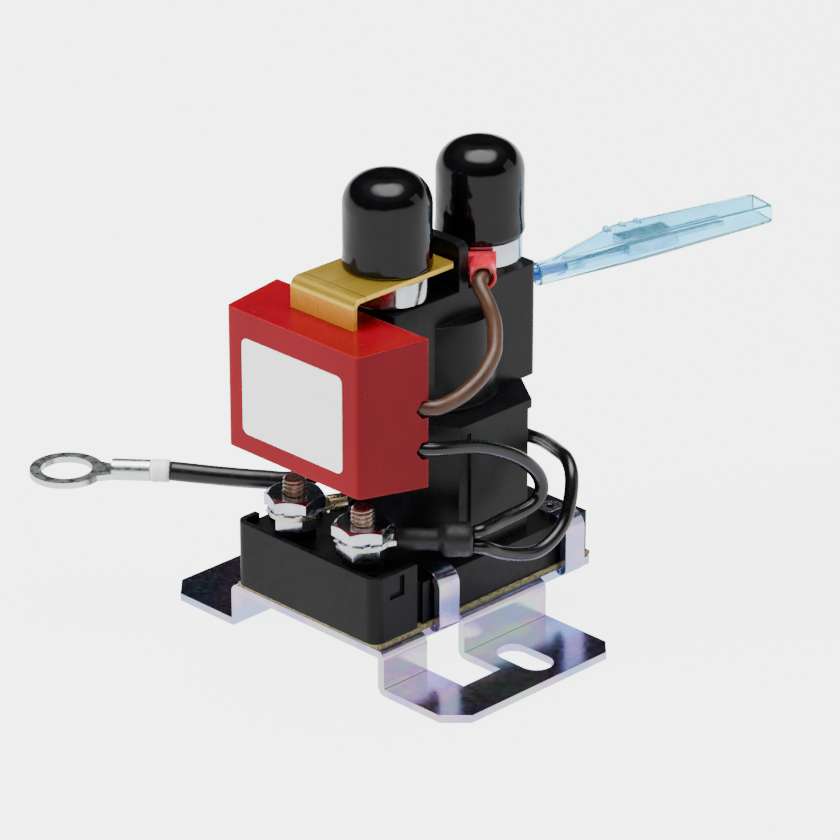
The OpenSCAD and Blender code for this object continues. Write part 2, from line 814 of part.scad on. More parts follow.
module coil_terminal_strips() {
    color("goldenrod") both_sides() strip_solid(base_z, strip_t, 0);
}

module coil_lower_nuts() {
    color("gainsboro") for (i = [0, 1]) translate([(1 - 2 * i) * coil_spacing / 2, coil_y, coil_lug_z])
        mirror([0, 0, 1]) rotate(low_nut_turns[i])
            hex_nut(coil_nut_low_af, coil_nut_low_h, coil_stud_d / 2 + fit);
}

module coil_lock_washers() {
    color("silver") for (x = [-1, 1]) translate([x * coil_spacing / 2, coil_y, coil_washer_z])
        difference() {
        union() {
            cylinder(r = coil_washer_r, h = washer_t);
            for (i = [0:tooth_count - 1]) rotate(360 * i / tooth_count)
                translate([coil_washer_r - washer_t, -tooth_w / 2, 0])
                    cube([tooth_l + washer_t, tooth_w, washer_t]);
        }
        translate([0, 0, -over]) cylinder(d = coil_stud_d + 2 * fit, h = washer_t + 2 * over);
    }
}

module coil_upper_nuts() {
    color("gainsboro") for (i = [0, 1]) translate([(1 - 2 * i) * coil_spacing / 2, coil_y, coil_nut_z])
        rotate(up_nut_turns[i]) hex_nut(coil_nut_af, coil_nut_h, coil_stud_d / 2 + fit);
}

module coil_ring_lug() {
    color("lightyellow") translate([coil_spacing / 2, coil_y, coil_lug_z]) rotate(coil_lug_turn)
        ring_lug(coil_lug_r, coil_stud_d / 2 + fit, lug_t, coil_barrel_r, coil_barrel_start,
            coil_barrel_end, lug_t / 2);
}

module coil_lug_boot() {
    knot_l = boot_end - boot_knot_start;
    color("black") translate([coil_spacing / 2, coil_y, coil_lug_z + lug_t / 2]) rotate(coil_lug_turn)
        rotate([0, 90, 0]) difference() {
            union() {
                translate([0, 0, boot_start]) cylinder(r = boot_r, h = boot_knot_start - boot_start + over);
                translate([0, 0, boot_knot_start]) rotate_extrude() polygon([
                    [0, 0], [boot_r, 0], [boot_knot_r, boot_knot_cut],
                    [boot_knot_r, knot_l - 2 * boot_knot_cut],
                    [boot_knot_r - boot_knot_cut, knot_l], [0, knot_l]]);
            }
            translate([0, 0, boot_start - over])
                cylinder(r = coil_barrel_r + fit, h = coil_barrel_end - boot_start + over);
        }
}

module drive_ring_lug() {
    color("white") translate([-coil_spacing / 2, coil_y, coil_lug_z]) rotate(drive_lug_turn)
        ring_lug(coil_lug_r, coil_stud_d / 2 + fit, lug_t, coil_barrel_r, coil_barrel_start,
            drive_barrel_end, lug_t / 2);
}

module drive_lead() {
    color("black") cord(drive_route, lead_d / 2, first = level(drive_lug_turn), last = [0, 0, 1]);
}

// Relay housings

// Octagon of the coil housing, drawn in by step
module octagon_2d(step) {
    x = collar_x - step;
    y = collar_y - step;
    cx = collar_cut_x;
    cy = collar_cut_y;
    polygon([[x, y - cy], [x - cx, y], [-x + cx, y], [-x, y - cy],
        [-x, -y + cy], [-x + cx, -y], [x - cx, -y], [x, -y + cy]]);
}

module coil_housing() {
    flute_w = flute_share * collar_cut_y;
    flute_y = -collar_y + collar_cut_y + collar_step;
    color("black") translate([0, relay_y, deck_z]) difference() {
        union() {
            linear_extrude(coil_housing_h - collar_h) octagon_2d(collar_step);
            translate([0, 0, coil_housing_h - collar_h]) linear_extrude(collar_h) octagon_2d(0);
        }
        translate([0, 0, -over]) cylinder(r = coil_bore_r, h = coil_housing_h - coil_top_t + over);
        translate([0, 0, -over]) cylinder(r = spigot_r + fit, h = coil_housing_h + 2 * over);
        both_sides() translate([collar_x - 2 * collar_step, flute_y, -over])
            cube([collar_step + over, flute_w, coil_housing_h - collar_h + over]);
    }
}

// The contact chamber: the space for the bridge and the round space for the rod
module chamber() {
    h = head_z + head_t - ledge_z;
    translate([0, 0, -over]) linear_extrude(h + over)
        round_rect(2 * chamber_x, 2 * chamber_y, contact_corner / 2);
    translate([0, 0, -coil_top_t - over])
        cylinder(r = bulge_bore_r, h = coil_top_t + over + bulge_h - contact_wall);
}

module contact_housing() {
    color("dimgray") translate([0, relay_y, ledge_z]) {
        difference() {
            union() {
                linear_extrude(contact_h) round_rect(2 * contact_x, 2 * contact_y, contact_corner);
                cylinder(r = bulge_r, h = bulge_h);
                cylinder(r = step_r, h = step_h);
                translate([0, 0, -coil_top_t]) cylinder(r = spigot_r, h = coil_top_t + over);
                translate([0, divider_t / 2 - divider_shift, contact_h]) rotate([90, 0, 0]) divider();
            }
            chamber();
            for (y = [-1, 1]) translate([0, y * main_spacing / 2, 0])
                cylinder(d = main_stud_d + 2 * fit, h = contact_h + over);
        }
    }
}

// The wall between the main studs, with its upper corners round
module divider() {
    linear_extrude(divider_t) {
        translate([-contact_x, -over]) square([2 * contact_x, divider_h - divider_corner + over]);
        translate([-contact_x + divider_corner, 0]) square([2 * (contact_x - divider_corner), divider_h]);
        for (x = [-1, 1]) translate([x * (contact_x - divider_corner), divider_h - divider_corner])
            circle(divider_corner);
    }
}

// Magnet

module magnet_can() {
    color("slategray") translate([0, relay_y, can_z]) difference() {
        cylinder(r = can_r, h = can_top - can_z);
        translate([0, 0, can_floor]) cylinder(r = can_r - can_wall, h = can_top - can_z);
    }
}

module pole_plate() {
    color("slategray") translate([0, relay_y, can_top]) tube(can_r, core_r + fit, pole_plate_t);
}

module fixed_core() {
    color("lightslategray") translate([0, relay_y, core_z]) tube(core_r, core_bore_r, core_l);
}

module coil_bobbin() {
    h = can_top - bobbin_z - fit;
    color("ivory") translate([0, relay_y, bobbin_z]) difference() {
        union() {
            cylinder(r = bobbin_r, h = bobbin_flange_t);
            cylinder(r = bobbin_bore_r + bobbin_hub_t, h = h);
            translate([0, 0, h - bobbin_flange_t]) cylinder(r = bobbin_r, h = bobbin_flange_t);
        }
        translate([0, 0, -over]) cylinder(r = bobbin_bore_r, h = h + 2 * over);
    }
}

module coil_winding() {
    h = can_top - bobbin_z - fit - 2 * bobbin_flange_t - 2 * fit;
    color("chocolate") translate([0, relay_y, bobbin_z + bobbin_flange_t + fit])
        tube(bobbin_r - winding_gap, bobbin_bore_r + bobbin_hub_t + fit, h);
}

module plunger() {
    color("silver") translate([0, relay_y, plunger_z - plunger_l]) difference() {
        cylinder(r = plunger_r, h = plunger_l);
        translate([0, 0, plunger_l - spring_pocket])
            cylinder(r = spring_pocket_r, h = spring_pocket + over);
    }
}

module push_rod() {
    foot = plunger_z - spring_pocket;
    color("gold") translate([0, relay_y, 0]) {
        translate([0, 0, foot]) cylinder(r = rod_r, h = rod_top - foot);
        translate([0, 0, seat_z]) cylinder(r = seat_r, h = seat_t);
    }
}

module return_spring() {
    color("gray") translate([0, relay_y, plunger_z - spring_pocket])
        spring(return_r, return_wire, core_z - plunger_z + spring_pocket, return_turns);
}

module contact_spring() {
    color("gray") translate([0, relay_y, seat_z + seat_t])
        spring(contact_spring_r, contact_wire, contact_spring_l, contact_turns);
}

module contact_bridge() {
    color("chocolate") translate([0, relay_y, bridge_z]) difference() {
        linear_extrude(bridge_t) {
            square([2 * bridge_x, 2 * (bridge_y - bridge_round)], center = true);
            for (y = [-1, 1]) translate([0, y * (bridge_y - bridge_round)]) circle(bridge_round);
        }
        translate([0, 0, -over]) cylinder(r = bush_r + fit, h = bridge_t + 2 * over);
    }
}

module bridge_bush() {
    h = bridge_t + 2 * bush_flange_t;
    color("white") translate([0, relay_y, bridge_z - bush_flange_t]) difference() {
        union() {
            cylinder(r = bush_flange_r, h = bush_flange_t);
            cylinder(r = bush_r, h = h);
            translate([0, 0, h - bush_flange_t]) cylinder(r = bush_flange_r, h = bush_flange_t);
        }
        translate([0, 0, -over]) cylinder(r = rod_r + run_gap, h = h + 2 * over);
    }
}

module bridge_contacts() {
    color("silver") for (y = main_ys) translate([0, y, bridge_z + bridge_t]) cylinder(r = tip_r, h = tip_t);
}

module rod_clip() {
    color("silver") translate([0, relay_y, bridge_z + bridge_t + bush_flange_t])
        tube(clip_ring_r, rod_r, clip_t);
}

// Main terminals

module main_studs() {
    color("silver") for (y = main_ys) translate([0, y, head_z]) {
        cylinder(r = head_r, h = head_t);
        cylinder(d = main_stud_d, h = main_top - head_z);
    }
}

module collar_nuts() {
    r = collar_nut_d / 2;
    color("silver") for (i = [0, 1]) translate([0, main_ys[i], main_z + i * lug_t]) difference() {
        rotate_extrude() polygon([[0, 0], [r - collar_cut, 0], [r, collar_cut],
            [r, collar_nut_h - collar_cut], [r - collar_cut, collar_nut_h], [0, collar_nut_h]]);
        translate([0, 0, -over]) cylinder(d = main_stud_d + 2 * fit, h = collar_nut_h + 2 * over);
    }
}

module main_lock_washers() {
    color("silver") for (y = main_ys) translate([0, y, stack_z]) difference() {
        tube(main_washer_r, main_stud_d / 2 + fit, main_washer_t);
        translate([0, -washer_slit / 2, -over])
            cube([main_washer_r + over, washer_slit, main_washer_t + 2 * over]);
    }
}

module main_nuts() {
    color("silver") for (y = main_ys) translate([0, y, main_nut_z])
        hex_nut(main_nut_af, main_nut_h, main_stud_d / 2 + fit);
}

// The strap seen from the right: along the top, round the bend and down into the module
module strap_2d() {
    face_y = front_y + strap_set_back;
    tail_y = main_ys[0] + strap_tail;
    translate([face_y + strap_bend, strap_z]) square([tail_y - face_y - strap_bend, strap_t]);
    translate([face_y + strap_bend, stack_z - strap_bend]) bend_2d(strap_bend - strap_t, strap_t, -1, 1);
    translate([face_y, stack_z - strap_bend - strap_leg]) square([strap_t, strap_leg]);
}

// The strap's down-turned leg with play round it, as the module's case and filling hold it
module strap_leg_space() {
    face_y = front_y + strap_set_back;
    translate([-strap_w / 2 - fit, face_y - fit, stack_z - strap_bend - strap_leg - fit])
        cube([strap_w + 2 * fit, strap_t + 2 * fit, strap_leg + strap_bend + 2 * fit]);
}

module brass_strap() {
    color("khaki") difference() {
        translate([-strap_w / 2, 0, 0]) rotate([90, 0, 90]) linear_extrude(strap_w) strap_2d();
        translate([0, main_ys[0], strap_z - over])
            cylinder(d = main_stud_d + 2 * fit, h = strap_t + 2 * over);
        for (x = [-1, 1]) translate([x * strap_w / 2, main_ys[0] + strap_tail, strap_z - over]) rotate(45)
            cube([strap_corner, strap_corner, 2 * (strap_t + 2 * over)], center = true);
    }
}

// One insulating cap, open below, on z = 0
module insulating_cap() {
    r = cap_d / 2;
    crown = [r - cap_round, cap_h - cap_round];
    bore = r - cap_wall;
    crown_bore = cap_round - cap_wall;
    difference() {
        rotate_extrude() polygon(concat([[0, 0], [r, 0], [r, cap_lip_h]],
            arc(crown, cap_round, 0, 90, 10), [[0, cap_h]]));
        translate([0, 0, -over]) cylinder(r = bore, h = over + crown.y);
        translate([0, 0, crown.y - fit]) rotate_extrude() polygon(concat([[0, 0]],
            arc([bore - crown_bore, 0], crown_bore, 0, 90, 8), [[0, crown_bore]]));
        translate([0, 0, -over]) cylinder(r = bore + cap_lip / 2, h = over + cap_lip);
    }
}

module cap_front() {
    color("black") translate([0, main_ys[0], stack_z]) insulating_cap();
}

module cap_rear() {
    color("black") translate([0, main_ys[1], main_z + lug_t + collar_nut_h]) insulating_cap();
}

// Sensing lead

module sense_ring_lug() {
    color("white") translate([0, main_ys[1], main_z]) rotate(sense_turn)
        ring_lug(sense_lug_r, main_stud_d / 2 + fit, lug_t, sense_barrel_r, sense_barrel_start,
            sense_barrel_end, sense_rise);
}

module sense_lug_sleeve() {
    riser_end = sense_barrel_start + lug_t;
    hood_h = sense_rise + sense_sleeve_r - lug_t - fit;
    color("crimson") translate([0, main_ys[1], main_z]) rotate(sense_turn) difference() {
        union() {
            translate([riser_end, 0, sense_rise]) rotate([0, 90, 0])
                cylinder(r = sense_sleeve_r, h = sense_sleeve_end - riser_end);
            translate([sense_barrel_start, -sense_hood_w / 2, lug_t + fit])
                cube([sense_hood_l, sense_hood_w, hood_h]);
        }
        translate([sense_barrel_start - over, 0, sense_rise]) rotate([0, 90, 0])
            cylinder(r = sense_barrel_r + fit, h = sense_sleeve_end - sense_barrel_start + 2 * over);
        translate([sense_barrel_start - over, -sense_barrel_r - fit, 0])
            cube([over + lug_t + fit, 2 * (sense_barrel_r + fit), sense_rise]);
    }
}

module sense_lead() {
    color("saddlebrown") cord(sense_route, sense_d / 2, first = level(sense_turn), last = [-1, 0, 0]);
}

// Module

// The module's tapered body, drawn in by wall on its sides and front
module module_form(wall, back) {
    f = module_front + wall;
    fx = module_front_x - wall + module_flare * wall;
    bx = module_front_x - wall + module_flare * (back - module_front);
    front_z = module_bottom + wall - module_slope * wall;
    back_z = module_bottom + wall - module_slope * (back - module_front);
    r = module_edge_r;
    intersection() {
        translate([0, 0, module_bottom - module_drop - over])
            linear_extrude(module_h + module_drop + 2 * over)
            polygon(concat([[bx, back], [-bx, back]],
                arc([-fx + r, f + r], r, 180, 270, 4), arc([fx - r, f + r], r, 270, 360, 4)));
        rotate([90, 0, 90]) translate([0, 0, -module_back_x - over])
            linear_extrude(2 * (module_back_x + over))
            polygon([[f, front_z], [back, back_z], [back, module_top - wall], [f, module_top - wall]]);
    }
}

module module_case() {
    color("red") difference() {
        translate([module_x, 0, 0]) difference() {
            module_form(0, module_back);
            module_form(module_wall, module_back + over);
            both_sides() for (z = notch_zs) wire_notch(z);
        }
        strap_leg_space();
        translate([drive_hole.x, drive_hole.y, module_bottom - module_drop - over])
            cylinder(r = lead_d / 2 + drive_hole_gap, h = module_drop + module_wall + 2 * over);
    }
}

// A pointed notch in the rear edge of the module's right side, for a lead
module wire_notch(z) {
    translate([0, module_back, z]) rotate([0, 90, 0]) linear_extrude(module_back_x + over)
        polygon([[-wire_notch_w / 2, over], [-wire_notch_w / 2, -wire_notch_d / 2], [0, -wire_notch_d],
            [wire_notch_w / 2, -wire_notch_d / 2], [wire_notch_w / 2, over]]);
}

module circuit_board() {
    y = front_y + strap_set_back + strap_t;
    color("green") translate([module_x - pcb_x, y, module_bottom + pcb_margin])
        cube([2 * pcb_x, pcb_t, module_h - 2 * pcb_margin - module_wall]);
}

module board_components() {
    y = front_y + strap_set_back + strap_t + pcb_t;
    mid_z = module_bottom + module_h / 2;
    color("darkslategray") translate([module_x, 0, 0]) {
        translate([-pcb_x + 2 * cap_can_r, y, mid_z + cap_can_r]) rotate([-90, 0, 0])
            cylinder(r = cap_can_r, h = cap_can_h);
        translate([-chip_l / 2, y, mid_z - chip_w]) cube([chip_l, chip_h, chip_w]);
        translate([pcb_x - device_w - cap_can_r / 2, y, mid_z + cap_can_r / 2])
            cube([device_w, device_h, device_l]);
    }
}

module module_potting() {
    color("firebrick") difference() {
        translate([module_x, 0, 0]) module_form(module_wall + fit, module_back - potting_recess);
        strap_leg_space();
        circuit_board();
        board_components();
    }
}

module blank_label() {
    color("white") translate([module_x, module_front, label_z]) rotate([90, 0, 0])
        linear_extrude(label_t) round_rect(label_w, label_h, label_r);
}

// Earth leads

module module_earth_lead() {
    color("black") cord(module_earth_route, lead_d / 2, first = [1, 0, 0], last = -level(coil_lug_turn));
}

module earth_lead() {
    color("black")
        cord(earth_route, lead_d / 2, first = level(coil_lug_turn), last = level(sleeve_start_turn));
}

module earth_lead_sleeve() {
    color("black") cord(smooth(earth_sleeve_route), earth_sleeve_d / 2, first = level(sleeve_start_turn),
        last = -level(earth_turn));
}

module earth_band() {
    color("white") translate(earth_at) rotate(earth_turn) translate([earth_barrel_end, 0, 0])
        rotate([0, 90, 0]) cylinder(r = earth_band_r, h = earth_band_end - earth_barrel_end);
}

module earth_ring_terminal() {
    color("whitesmoke") translate(earth_at) rotate(earth_turn) difference() {
        union() {
            translate([0, 0, -earth_t]) cylinder(d = earth_ring_d, h = earth_t);
            translate([0, 0, -earth_t]) linear_extrude(earth_t) polygon([
                [0, -earth_root_share * earth_ring_d], [earth_barrel_start, -earth_barrel_r],
                [earth_barrel_start, earth_barrel_r], [0, earth_root_share * earth_ring_d]]);
            translate([earth_barrel_start - earth_t, 0, 0]) rotate([0, 90, 0])
                cylinder(r = earth_barrel_r, h = earth_barrel_end - earth_barrel_start + earth_t);
        }
        translate([0, 0, -earth_t - over]) cylinder(d = earth_hole_d, h = earth_t + 2 * over);
    }
}

// Trigger lead

module trigger_lead() {
    color("royalblue") cord(trigger_route, lead_d / 2, first = [-1, 0, 0], last = level(trigger_turn));
}

// Puts its children at the connector, with +X along its sleeve
module at_trigger() {
    translate(trigger_at) rotate([0, -trigger_pitch, trigger_turn]) children();
}

// Box along +X with its cross-section centred at height lift
module bar(start, l, w, h, lift) {
    translate([start, -w / 2, lift - h / 2]) cube([l, w, h]);
}

module trigger_terminal() {
    crimp_end = trigger_crimp_start + trigger_crimp_l;
    box_end = trigger_box_start + trigger_box_l;
    color("slategray") at_trigger() {
        translate([trigger_crimp_start, 0, trigger_crimp_lift]) rotate([0, 90, 0])
            cylinder(r = trigger_crimp_r, h = trigger_crimp_l);
        bar(crimp_end - over, trigger_box_start - crimp_end + 2 * over, trigger_blade_w, trigger_blade_t,
            trigger_neck_lift);
        bar(trigger_box_start, trigger_box_l, trigger_box_w, trigger_box_h, trigger_box_lift);
        bar(box_end - over, trigger_blade_l + over, trigger_blade_w, trigger_blade_t, trigger_box_lift);
    }
}

// Cross-section of the sleeve at distance x: points of a rectangle with round corners
function section(x, w, h, corner, lift) = [for (q = [0:3]) for (k = [0:corner_steps])
    let (a = 90 * q + 90 * k / corner_steps, side_y = q == 0 || q == 3 ? 1 : -1, side_z = q < 2 ? 1 : -1)
    [x, side_y * (w / 2 - corner) + corner * cos(a), lift + side_z * (h / 2 - corner) + corner * sin(a)]];

// The sleeve's sections drawn in by wall: round tail, widening neck, tapering body
function sleeve_sections(wall) =
    let (tail = 2 * (trigger_tail_r - wall), tail_corner = trigger_tail_r - wall - fit,
         body_corner = trigger_corner - wall / 2)
    [section(0, tail, tail, tail_corner, 0),
     section(trigger_tail_l, tail, tail, tail_corner, 0),
     section(trigger_shoulder, trigger_w - 2 * wall, trigger_h - 2 * wall, body_corner, trigger_lift),
     section(trigger_l, trigger_end_w - 2 * wall, trigger_end_h - 2 * wall, body_corner, trigger_lift)];

// A shell between two lofts along +X with as many sections and points each
module shell_loft(outside, inside) {
    n = len(outside[0]);
    m = len(outside);
    inner = n * m;
    last = n * (m - 1);
    skin = [for (i = [0:m - 2]) for (k = [0:n - 1])
        let (a = i * n + k, b = i * n + (k + 1) % n) each [[a, a + n, b + n], [a, b + n, b]]];
    lining = [for (f = skin) [inner + f[2], inner + f[1], inner + f[0]]];
    ends = [for (k = [0:n - 1]) let (a = k, b = (k + 1) % n) each [
        [a, b, inner + b], [a, inner + b, inner + a],
        [last + a, inner + last + b, last + b], [last + a, inner + last + a, inner + last + b]]];
    polyhedron([for (s = concat(outside, inside)) each s], concat(skin, lining, ends));
}

module trigger_sleeve() {
    rib_y = trigger_w / 2 - rib_w - trigger_corner;
    rib_z = trigger_lift + trigger_h / 2 - rib_h;
    color("paleturquoise") at_trigger() {
        shell_loft(sleeve_sections(0), sleeve_sections(trigger_wall));
        for (i = [0:rib_count - 1]) translate([rib_start + i * rib_step, rib_y, rib_z])
            cube([rib_l, rib_w, 2 * rib_h]);
    }
}

mounting_bracket();
insulating_board();
base_moulding();
base_rivets();
coil_studs();
coil_lower_nuts();
coil_lock_washers();
coil_upper_nuts();
coil_ring_lug();
coil_lug_boot();
drive_ring_lug();
drive_lead();
coil_housing();
contact_housing();
magnet_can();
pole_plate();
fixed_core();
coil_bobbin();
coil_winding();
coil_terminal_strips();
plunger();
push_rod();
return_spring();
contact_spring();
contact_bridge();
bridge_bush();
bridge_contacts();
rod_clip();
main_studs();
collar_nuts();
main_lock_washers();
main_nuts();
brass_strap();
cap_front();
cap_rear();
sense_ring_lug();
sense_lug_sleeve();
sense_lead();
module_case();
module_potting();
circuit_board();
board_components();
blank_label();
module_earth_lead();
earth_lead();
earth_lead_sleeve();
earth_band();
earth_ring_terminal();
trigger_lead();
trigger_terminal();
trigger_sleeve();
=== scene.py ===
"""The battery isolator relay, dressed for its picture: finishes, leads, threads and studio light."""

import math

import bpy
from mathutils import Matrix, Vector, noise


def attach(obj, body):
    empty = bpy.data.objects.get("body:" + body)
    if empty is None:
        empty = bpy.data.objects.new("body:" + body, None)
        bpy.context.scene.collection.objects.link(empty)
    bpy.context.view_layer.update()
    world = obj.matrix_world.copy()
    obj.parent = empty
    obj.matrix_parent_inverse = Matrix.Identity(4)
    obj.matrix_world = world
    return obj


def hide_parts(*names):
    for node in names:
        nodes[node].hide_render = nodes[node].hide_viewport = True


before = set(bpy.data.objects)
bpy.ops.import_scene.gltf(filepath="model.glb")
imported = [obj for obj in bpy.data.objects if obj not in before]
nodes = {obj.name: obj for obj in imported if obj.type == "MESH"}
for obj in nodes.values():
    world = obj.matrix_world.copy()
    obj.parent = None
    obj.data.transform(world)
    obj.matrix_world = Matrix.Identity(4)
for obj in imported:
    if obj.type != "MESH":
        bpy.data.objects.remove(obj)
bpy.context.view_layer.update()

MM = 0.001


def spot(x, y, z):
    """A place in the frame, given in millimetres."""
    return Vector((x * MM, y * MM, z * MM))


def sized(*pairs):
    """(radius, height) pairs given in millimetres."""
    return [(radius * MM, height * MM) for radius, height in pairs]


# Places that several pieces share, in millimetres and degrees

COIL_STUD_X, COIL_STUD_Y, COIL_HEAD_TOP = 7.9, -18.8, 11.3
FRONT_STUD_Y, REAR_STUD_Y, MAIN_HEAD_TOP = -5.4, 15.5, 56.6
WASHER_MIDDLE = 23.4
CAP_SEAT = 63.9
COIL_LUG_HEIGHT, COIL_LUG_TURN = 22.7, 45
EARTH_RING, EARTH_TURN = (-43.7, -36.5, 24), 41.3
SLEEVE_TAIL, SLEEVE_TURN, SLEEVE_RISE = (3.98, 24.8, 54.5), 76, 1.2


# The camera stands where the photograph was taken from

LOOK_AT = spot(-1.097, 2.957, 33.693)
CAMERA_TURN = math.radians(45.155)
CAMERA_RISE = math.radians(24.435)
CAMERA_REACH = 755.205 * MM

toward_camera = Vector((
    math.sin(CAMERA_TURN) * math.cos(CAMERA_RISE),
    -math.cos(CAMERA_TURN) * math.cos(CAMERA_RISE),
    math.sin(CAMERA_RISE),
))
camera_data = bpy.data.cameras.new("studio_camera")
camera_data.sensor_fit = "HORIZONTAL"
camera_data.sensor_width = 36
camera_data.lens = 198.8
camera_data.clip_start = 0.01
camera_data.clip_end = 50
camera = bpy.data.objects.new("studio_camera", camera_data)
bpy.context.scene.collection.objects.link(camera)
camera.matrix_world = Matrix.Translation(LOOK_AT + toward_camera * CAMERA_REACH) @ toward_camera.to_track_quat(
    "Z", "Y").to_matrix().to_4x4()
bpy.context.scene.camera = camera


# How a finish is mixed


def tint(red, green, blue):
    """A colour given as screen values, as the shader wants it."""
    def linear(v):
        v /= 255
        return v / 12.92 if v <= 0.04045 else ((v + 0.055) / 1.055) ** 2.4
    return (linear(red), linear(green), linear(blue), 1)


def feed(tree, socket, value):
    """Links a socket to another socket, or gives it a fixed value."""
    if isinstance(value, bpy.types.NodeSocket):
        tree.links.new(value, socket)
    else:
        socket.default_value = value


def add_node(tree, kind, inputs, settings):
    """A new node in a tree, with its settings and its inputs."""
    node = tree.nodes.new(kind)
    for key, value in settings.items():
        setattr(node, key, value)
    for key, value in dict(inputs).items():
        feed(tree, node.inputs[key], value)
    return node


class Finish:
    """One procedural finish: its shader and the patterns that feed it."""

    # A cloud's numbers mostly lie between these
    FAINT, STRONG = 0.3, 0.7

    def __init__(self, name, **sockets):
        self.material = bpy.data.materials.new(name)
        self.material.use_nodes = True
        self.tree = self.material.node_tree
        self.shader = self.tree.nodes["Principled BSDF"]
        self.places = self.tree.nodes.new("ShaderNodeTexCoord")
        self.set(**sockets)

    def set(self, **sockets):
        """Sets or links the shader's sockets, named with _ for a space."""
        for name, value in sockets.items():
            feed(self.tree, self.shader.inputs[name.replace("_", " ")], value)

    def add(self, kind, inputs=(), **settings):
        """A new node of this finish."""
        return add_node(self.tree, kind, inputs, settings)

    def place(self, stretch=(1, 1, 1), shift=(0, 0, 0), turn=(0, 0, 0), source="Object"):
        """Coordinates of the pattern on the piece."""
        return self.add("ShaderNodeMapping", {
            "Vector": self.places.outputs[source], "Scale": stretch, "Location": shift, "Rotation": turn}).outputs[0]

    def along(self, axis):
        """The place along one axis of the frame, in metres."""
        return self.add("ShaderNodeSeparateXYZ", {0: self.places.outputs["Object"]}).outputs[axis]

    def cloud(self, per_metre, detail=3.0, rough=0.55, stretch=(1, 1, 1), shift=(0, 0, 0), source="Object"):
        """Soft irregular blotches or grain, as a number from 0 to 1."""
        return self.add("ShaderNodeTexNoise", {
            "Vector": self.place(stretch, shift, source=source), "Scale": per_metre, "Detail": detail,
            "Roughness": rough}).outputs[0]

    def math(self, operation, a, b=0.0, clamp=False):
        """The result of a sum on one or two numbers."""
        return self.add("ShaderNodeMath", {0: a, 1: b}, operation=operation, use_clamp=clamp).outputs[0]

    def span(self, value, low, high, to_low=0.0, to_high=1.0):
        """Turns low..high of a number into to_low..to_high, held at both ends."""
        return self.add("ShaderNodeMapRange", {
            "Value": value, "From Min": low, "From Max": high, "To Min": to_low, "To Max": to_high}).outputs[0]

    def varied(self, pattern, to_low, to_high):
        """Turns a cloud into to_low..to_high."""
        return self.span(pattern, self.FAINT, self.STRONG, to_low, to_high)

    def shades(self, value, *stops):
        """Colours along a number, as (position, colour) pairs."""
        ramp = self.add("ShaderNodeValToRGB", {"Fac": value})
        points = ramp.color_ramp.elements
        while len(points) < len(stops):
            points.new(0.5)
        for point, (position, colour) in zip(points, stops):
            point.position = position
            point.color = colour
        return ramp.outputs[0]

    def mottled(self, pattern, dark, light):
        """Two colours of a cloud that run into each other."""
        return self.shades(pattern, (self.FAINT, dark), (self.STRONG, light))

    def blend(self, share, a, b):
        """Colour a, with a share of colour b over it."""
        colour_a, colour_b, colour_out = 6, 7, 2    # the mix node's colour sockets
        return self.add("ShaderNodeMix", {0: share, colour_a: a, colour_b: b}, data_type="RGBA").outputs[colour_out]

    def eased(self, radius):
        """Normals rounded over the edges by a radius in metres."""
        return self.add("ShaderNodeBevel", {"Radius": radius}, samples=4).outputs[0]

    def edges(self, eased, gain):
        """A number that is high on the rounded edges; it masks the painted edge highlights."""
        true = self.add("ShaderNodeNewGeometry").outputs["True Normal"]
        facing = self.add("ShaderNodeVectorMath", {0: eased, 1: true}, operation="DOT_PRODUCT").outputs["Value"]
        return self.math("MULTIPLY", self.math("SUBTRACT", 1.0, facing), gain, clamp=True)

    def relief(self, height, depth, normal=None):
        """Gives the surface a relief of that depth in metres."""
        inputs = {"Height": height, "Distance": depth, "Strength": 1.0}
        if normal is not None:
            inputs["Normal"] = normal
        self.set(Normal=self.add("ShaderNodeBump", inputs).outputs[0])


def plated_metal(name, dark, light, rough, blotch=220, edge=0.00012, grain=1800, depth=0.000004, tone=None):
    """Plated or bare metal: tone varies in soft blotches, gloss in finer ones."""
    finish = Finish(name, Metallic=1.0)
    blotches = finish.cloud(blotch, 4)
    colour = finish.mottled(blotches, dark, light)
    if tone is not None:
        colour = finish.blend(finish.span(finish.cloud(blotch * 0.6, 2, shift=(3, 1, 2)), 0.48, 0.66), colour, tone)
    finish.set(Base_Color=colour, Roughness=finish.varied(finish.cloud(grain, 3), rough * 0.75, rough * 1.3))
    finish.relief(finish.cloud(grain, 5), depth, finish.eased(edge))
    return finish.material


def moulded_plastic(name, dark, light, rough, edge=0.0002, edge_highlight_tint=None, edge_highlight_gain=2.0, grain=2600, depth=0.000008,
                    **sockets):
    """Moulded plastic with a fine grain, faint flow marks and eased edges; an edge tint, when given, is a painted
    highlight along the edges.
    """
    finish = Finish(name, **sockets)
    eased = finish.eased(edge)
    colour = finish.mottled(finish.cloud(130, 3, stretch=(1, 1, 0.5)), dark, light)
    # painted highlight: the edges are blended towards the lighter edge tint
    if edge_highlight_tint is not None:
        colour = finish.blend(finish.edges(eased, edge_highlight_gain), colour, edge_highlight_tint)
    finish.set(Base_Color=colour, Roughness=finish.varied(finish.cloud(700, 4), rough * 0.85, rough * 1.2))
    finish.relief(finish.cloud(grain, 2), depth, eased)
    return finish.material


def lead_skin(name, dark, light, rough, depth=0.00002, **sockets):
    """Extruded insulation: faint lengthwise drag lines and small handling marks."""
    finish = Finish(name, **sockets)
    drag = finish.cloud(1.0, 3, stretch=(9, 0.12, 1), source="UV")
    marks = finish.cloud(900, 4)
    finish.set(
        Base_Color=finish.mottled(drag, dark, light),
        Roughness=finish.varied(marks, rough * 0.8, rough * 1.3))
    finish.relief(finish.math("ADD", drag, finish.math("MULTIPLY", marks, 0.5)), depth)
    return finish.material


# The finishes of the relay


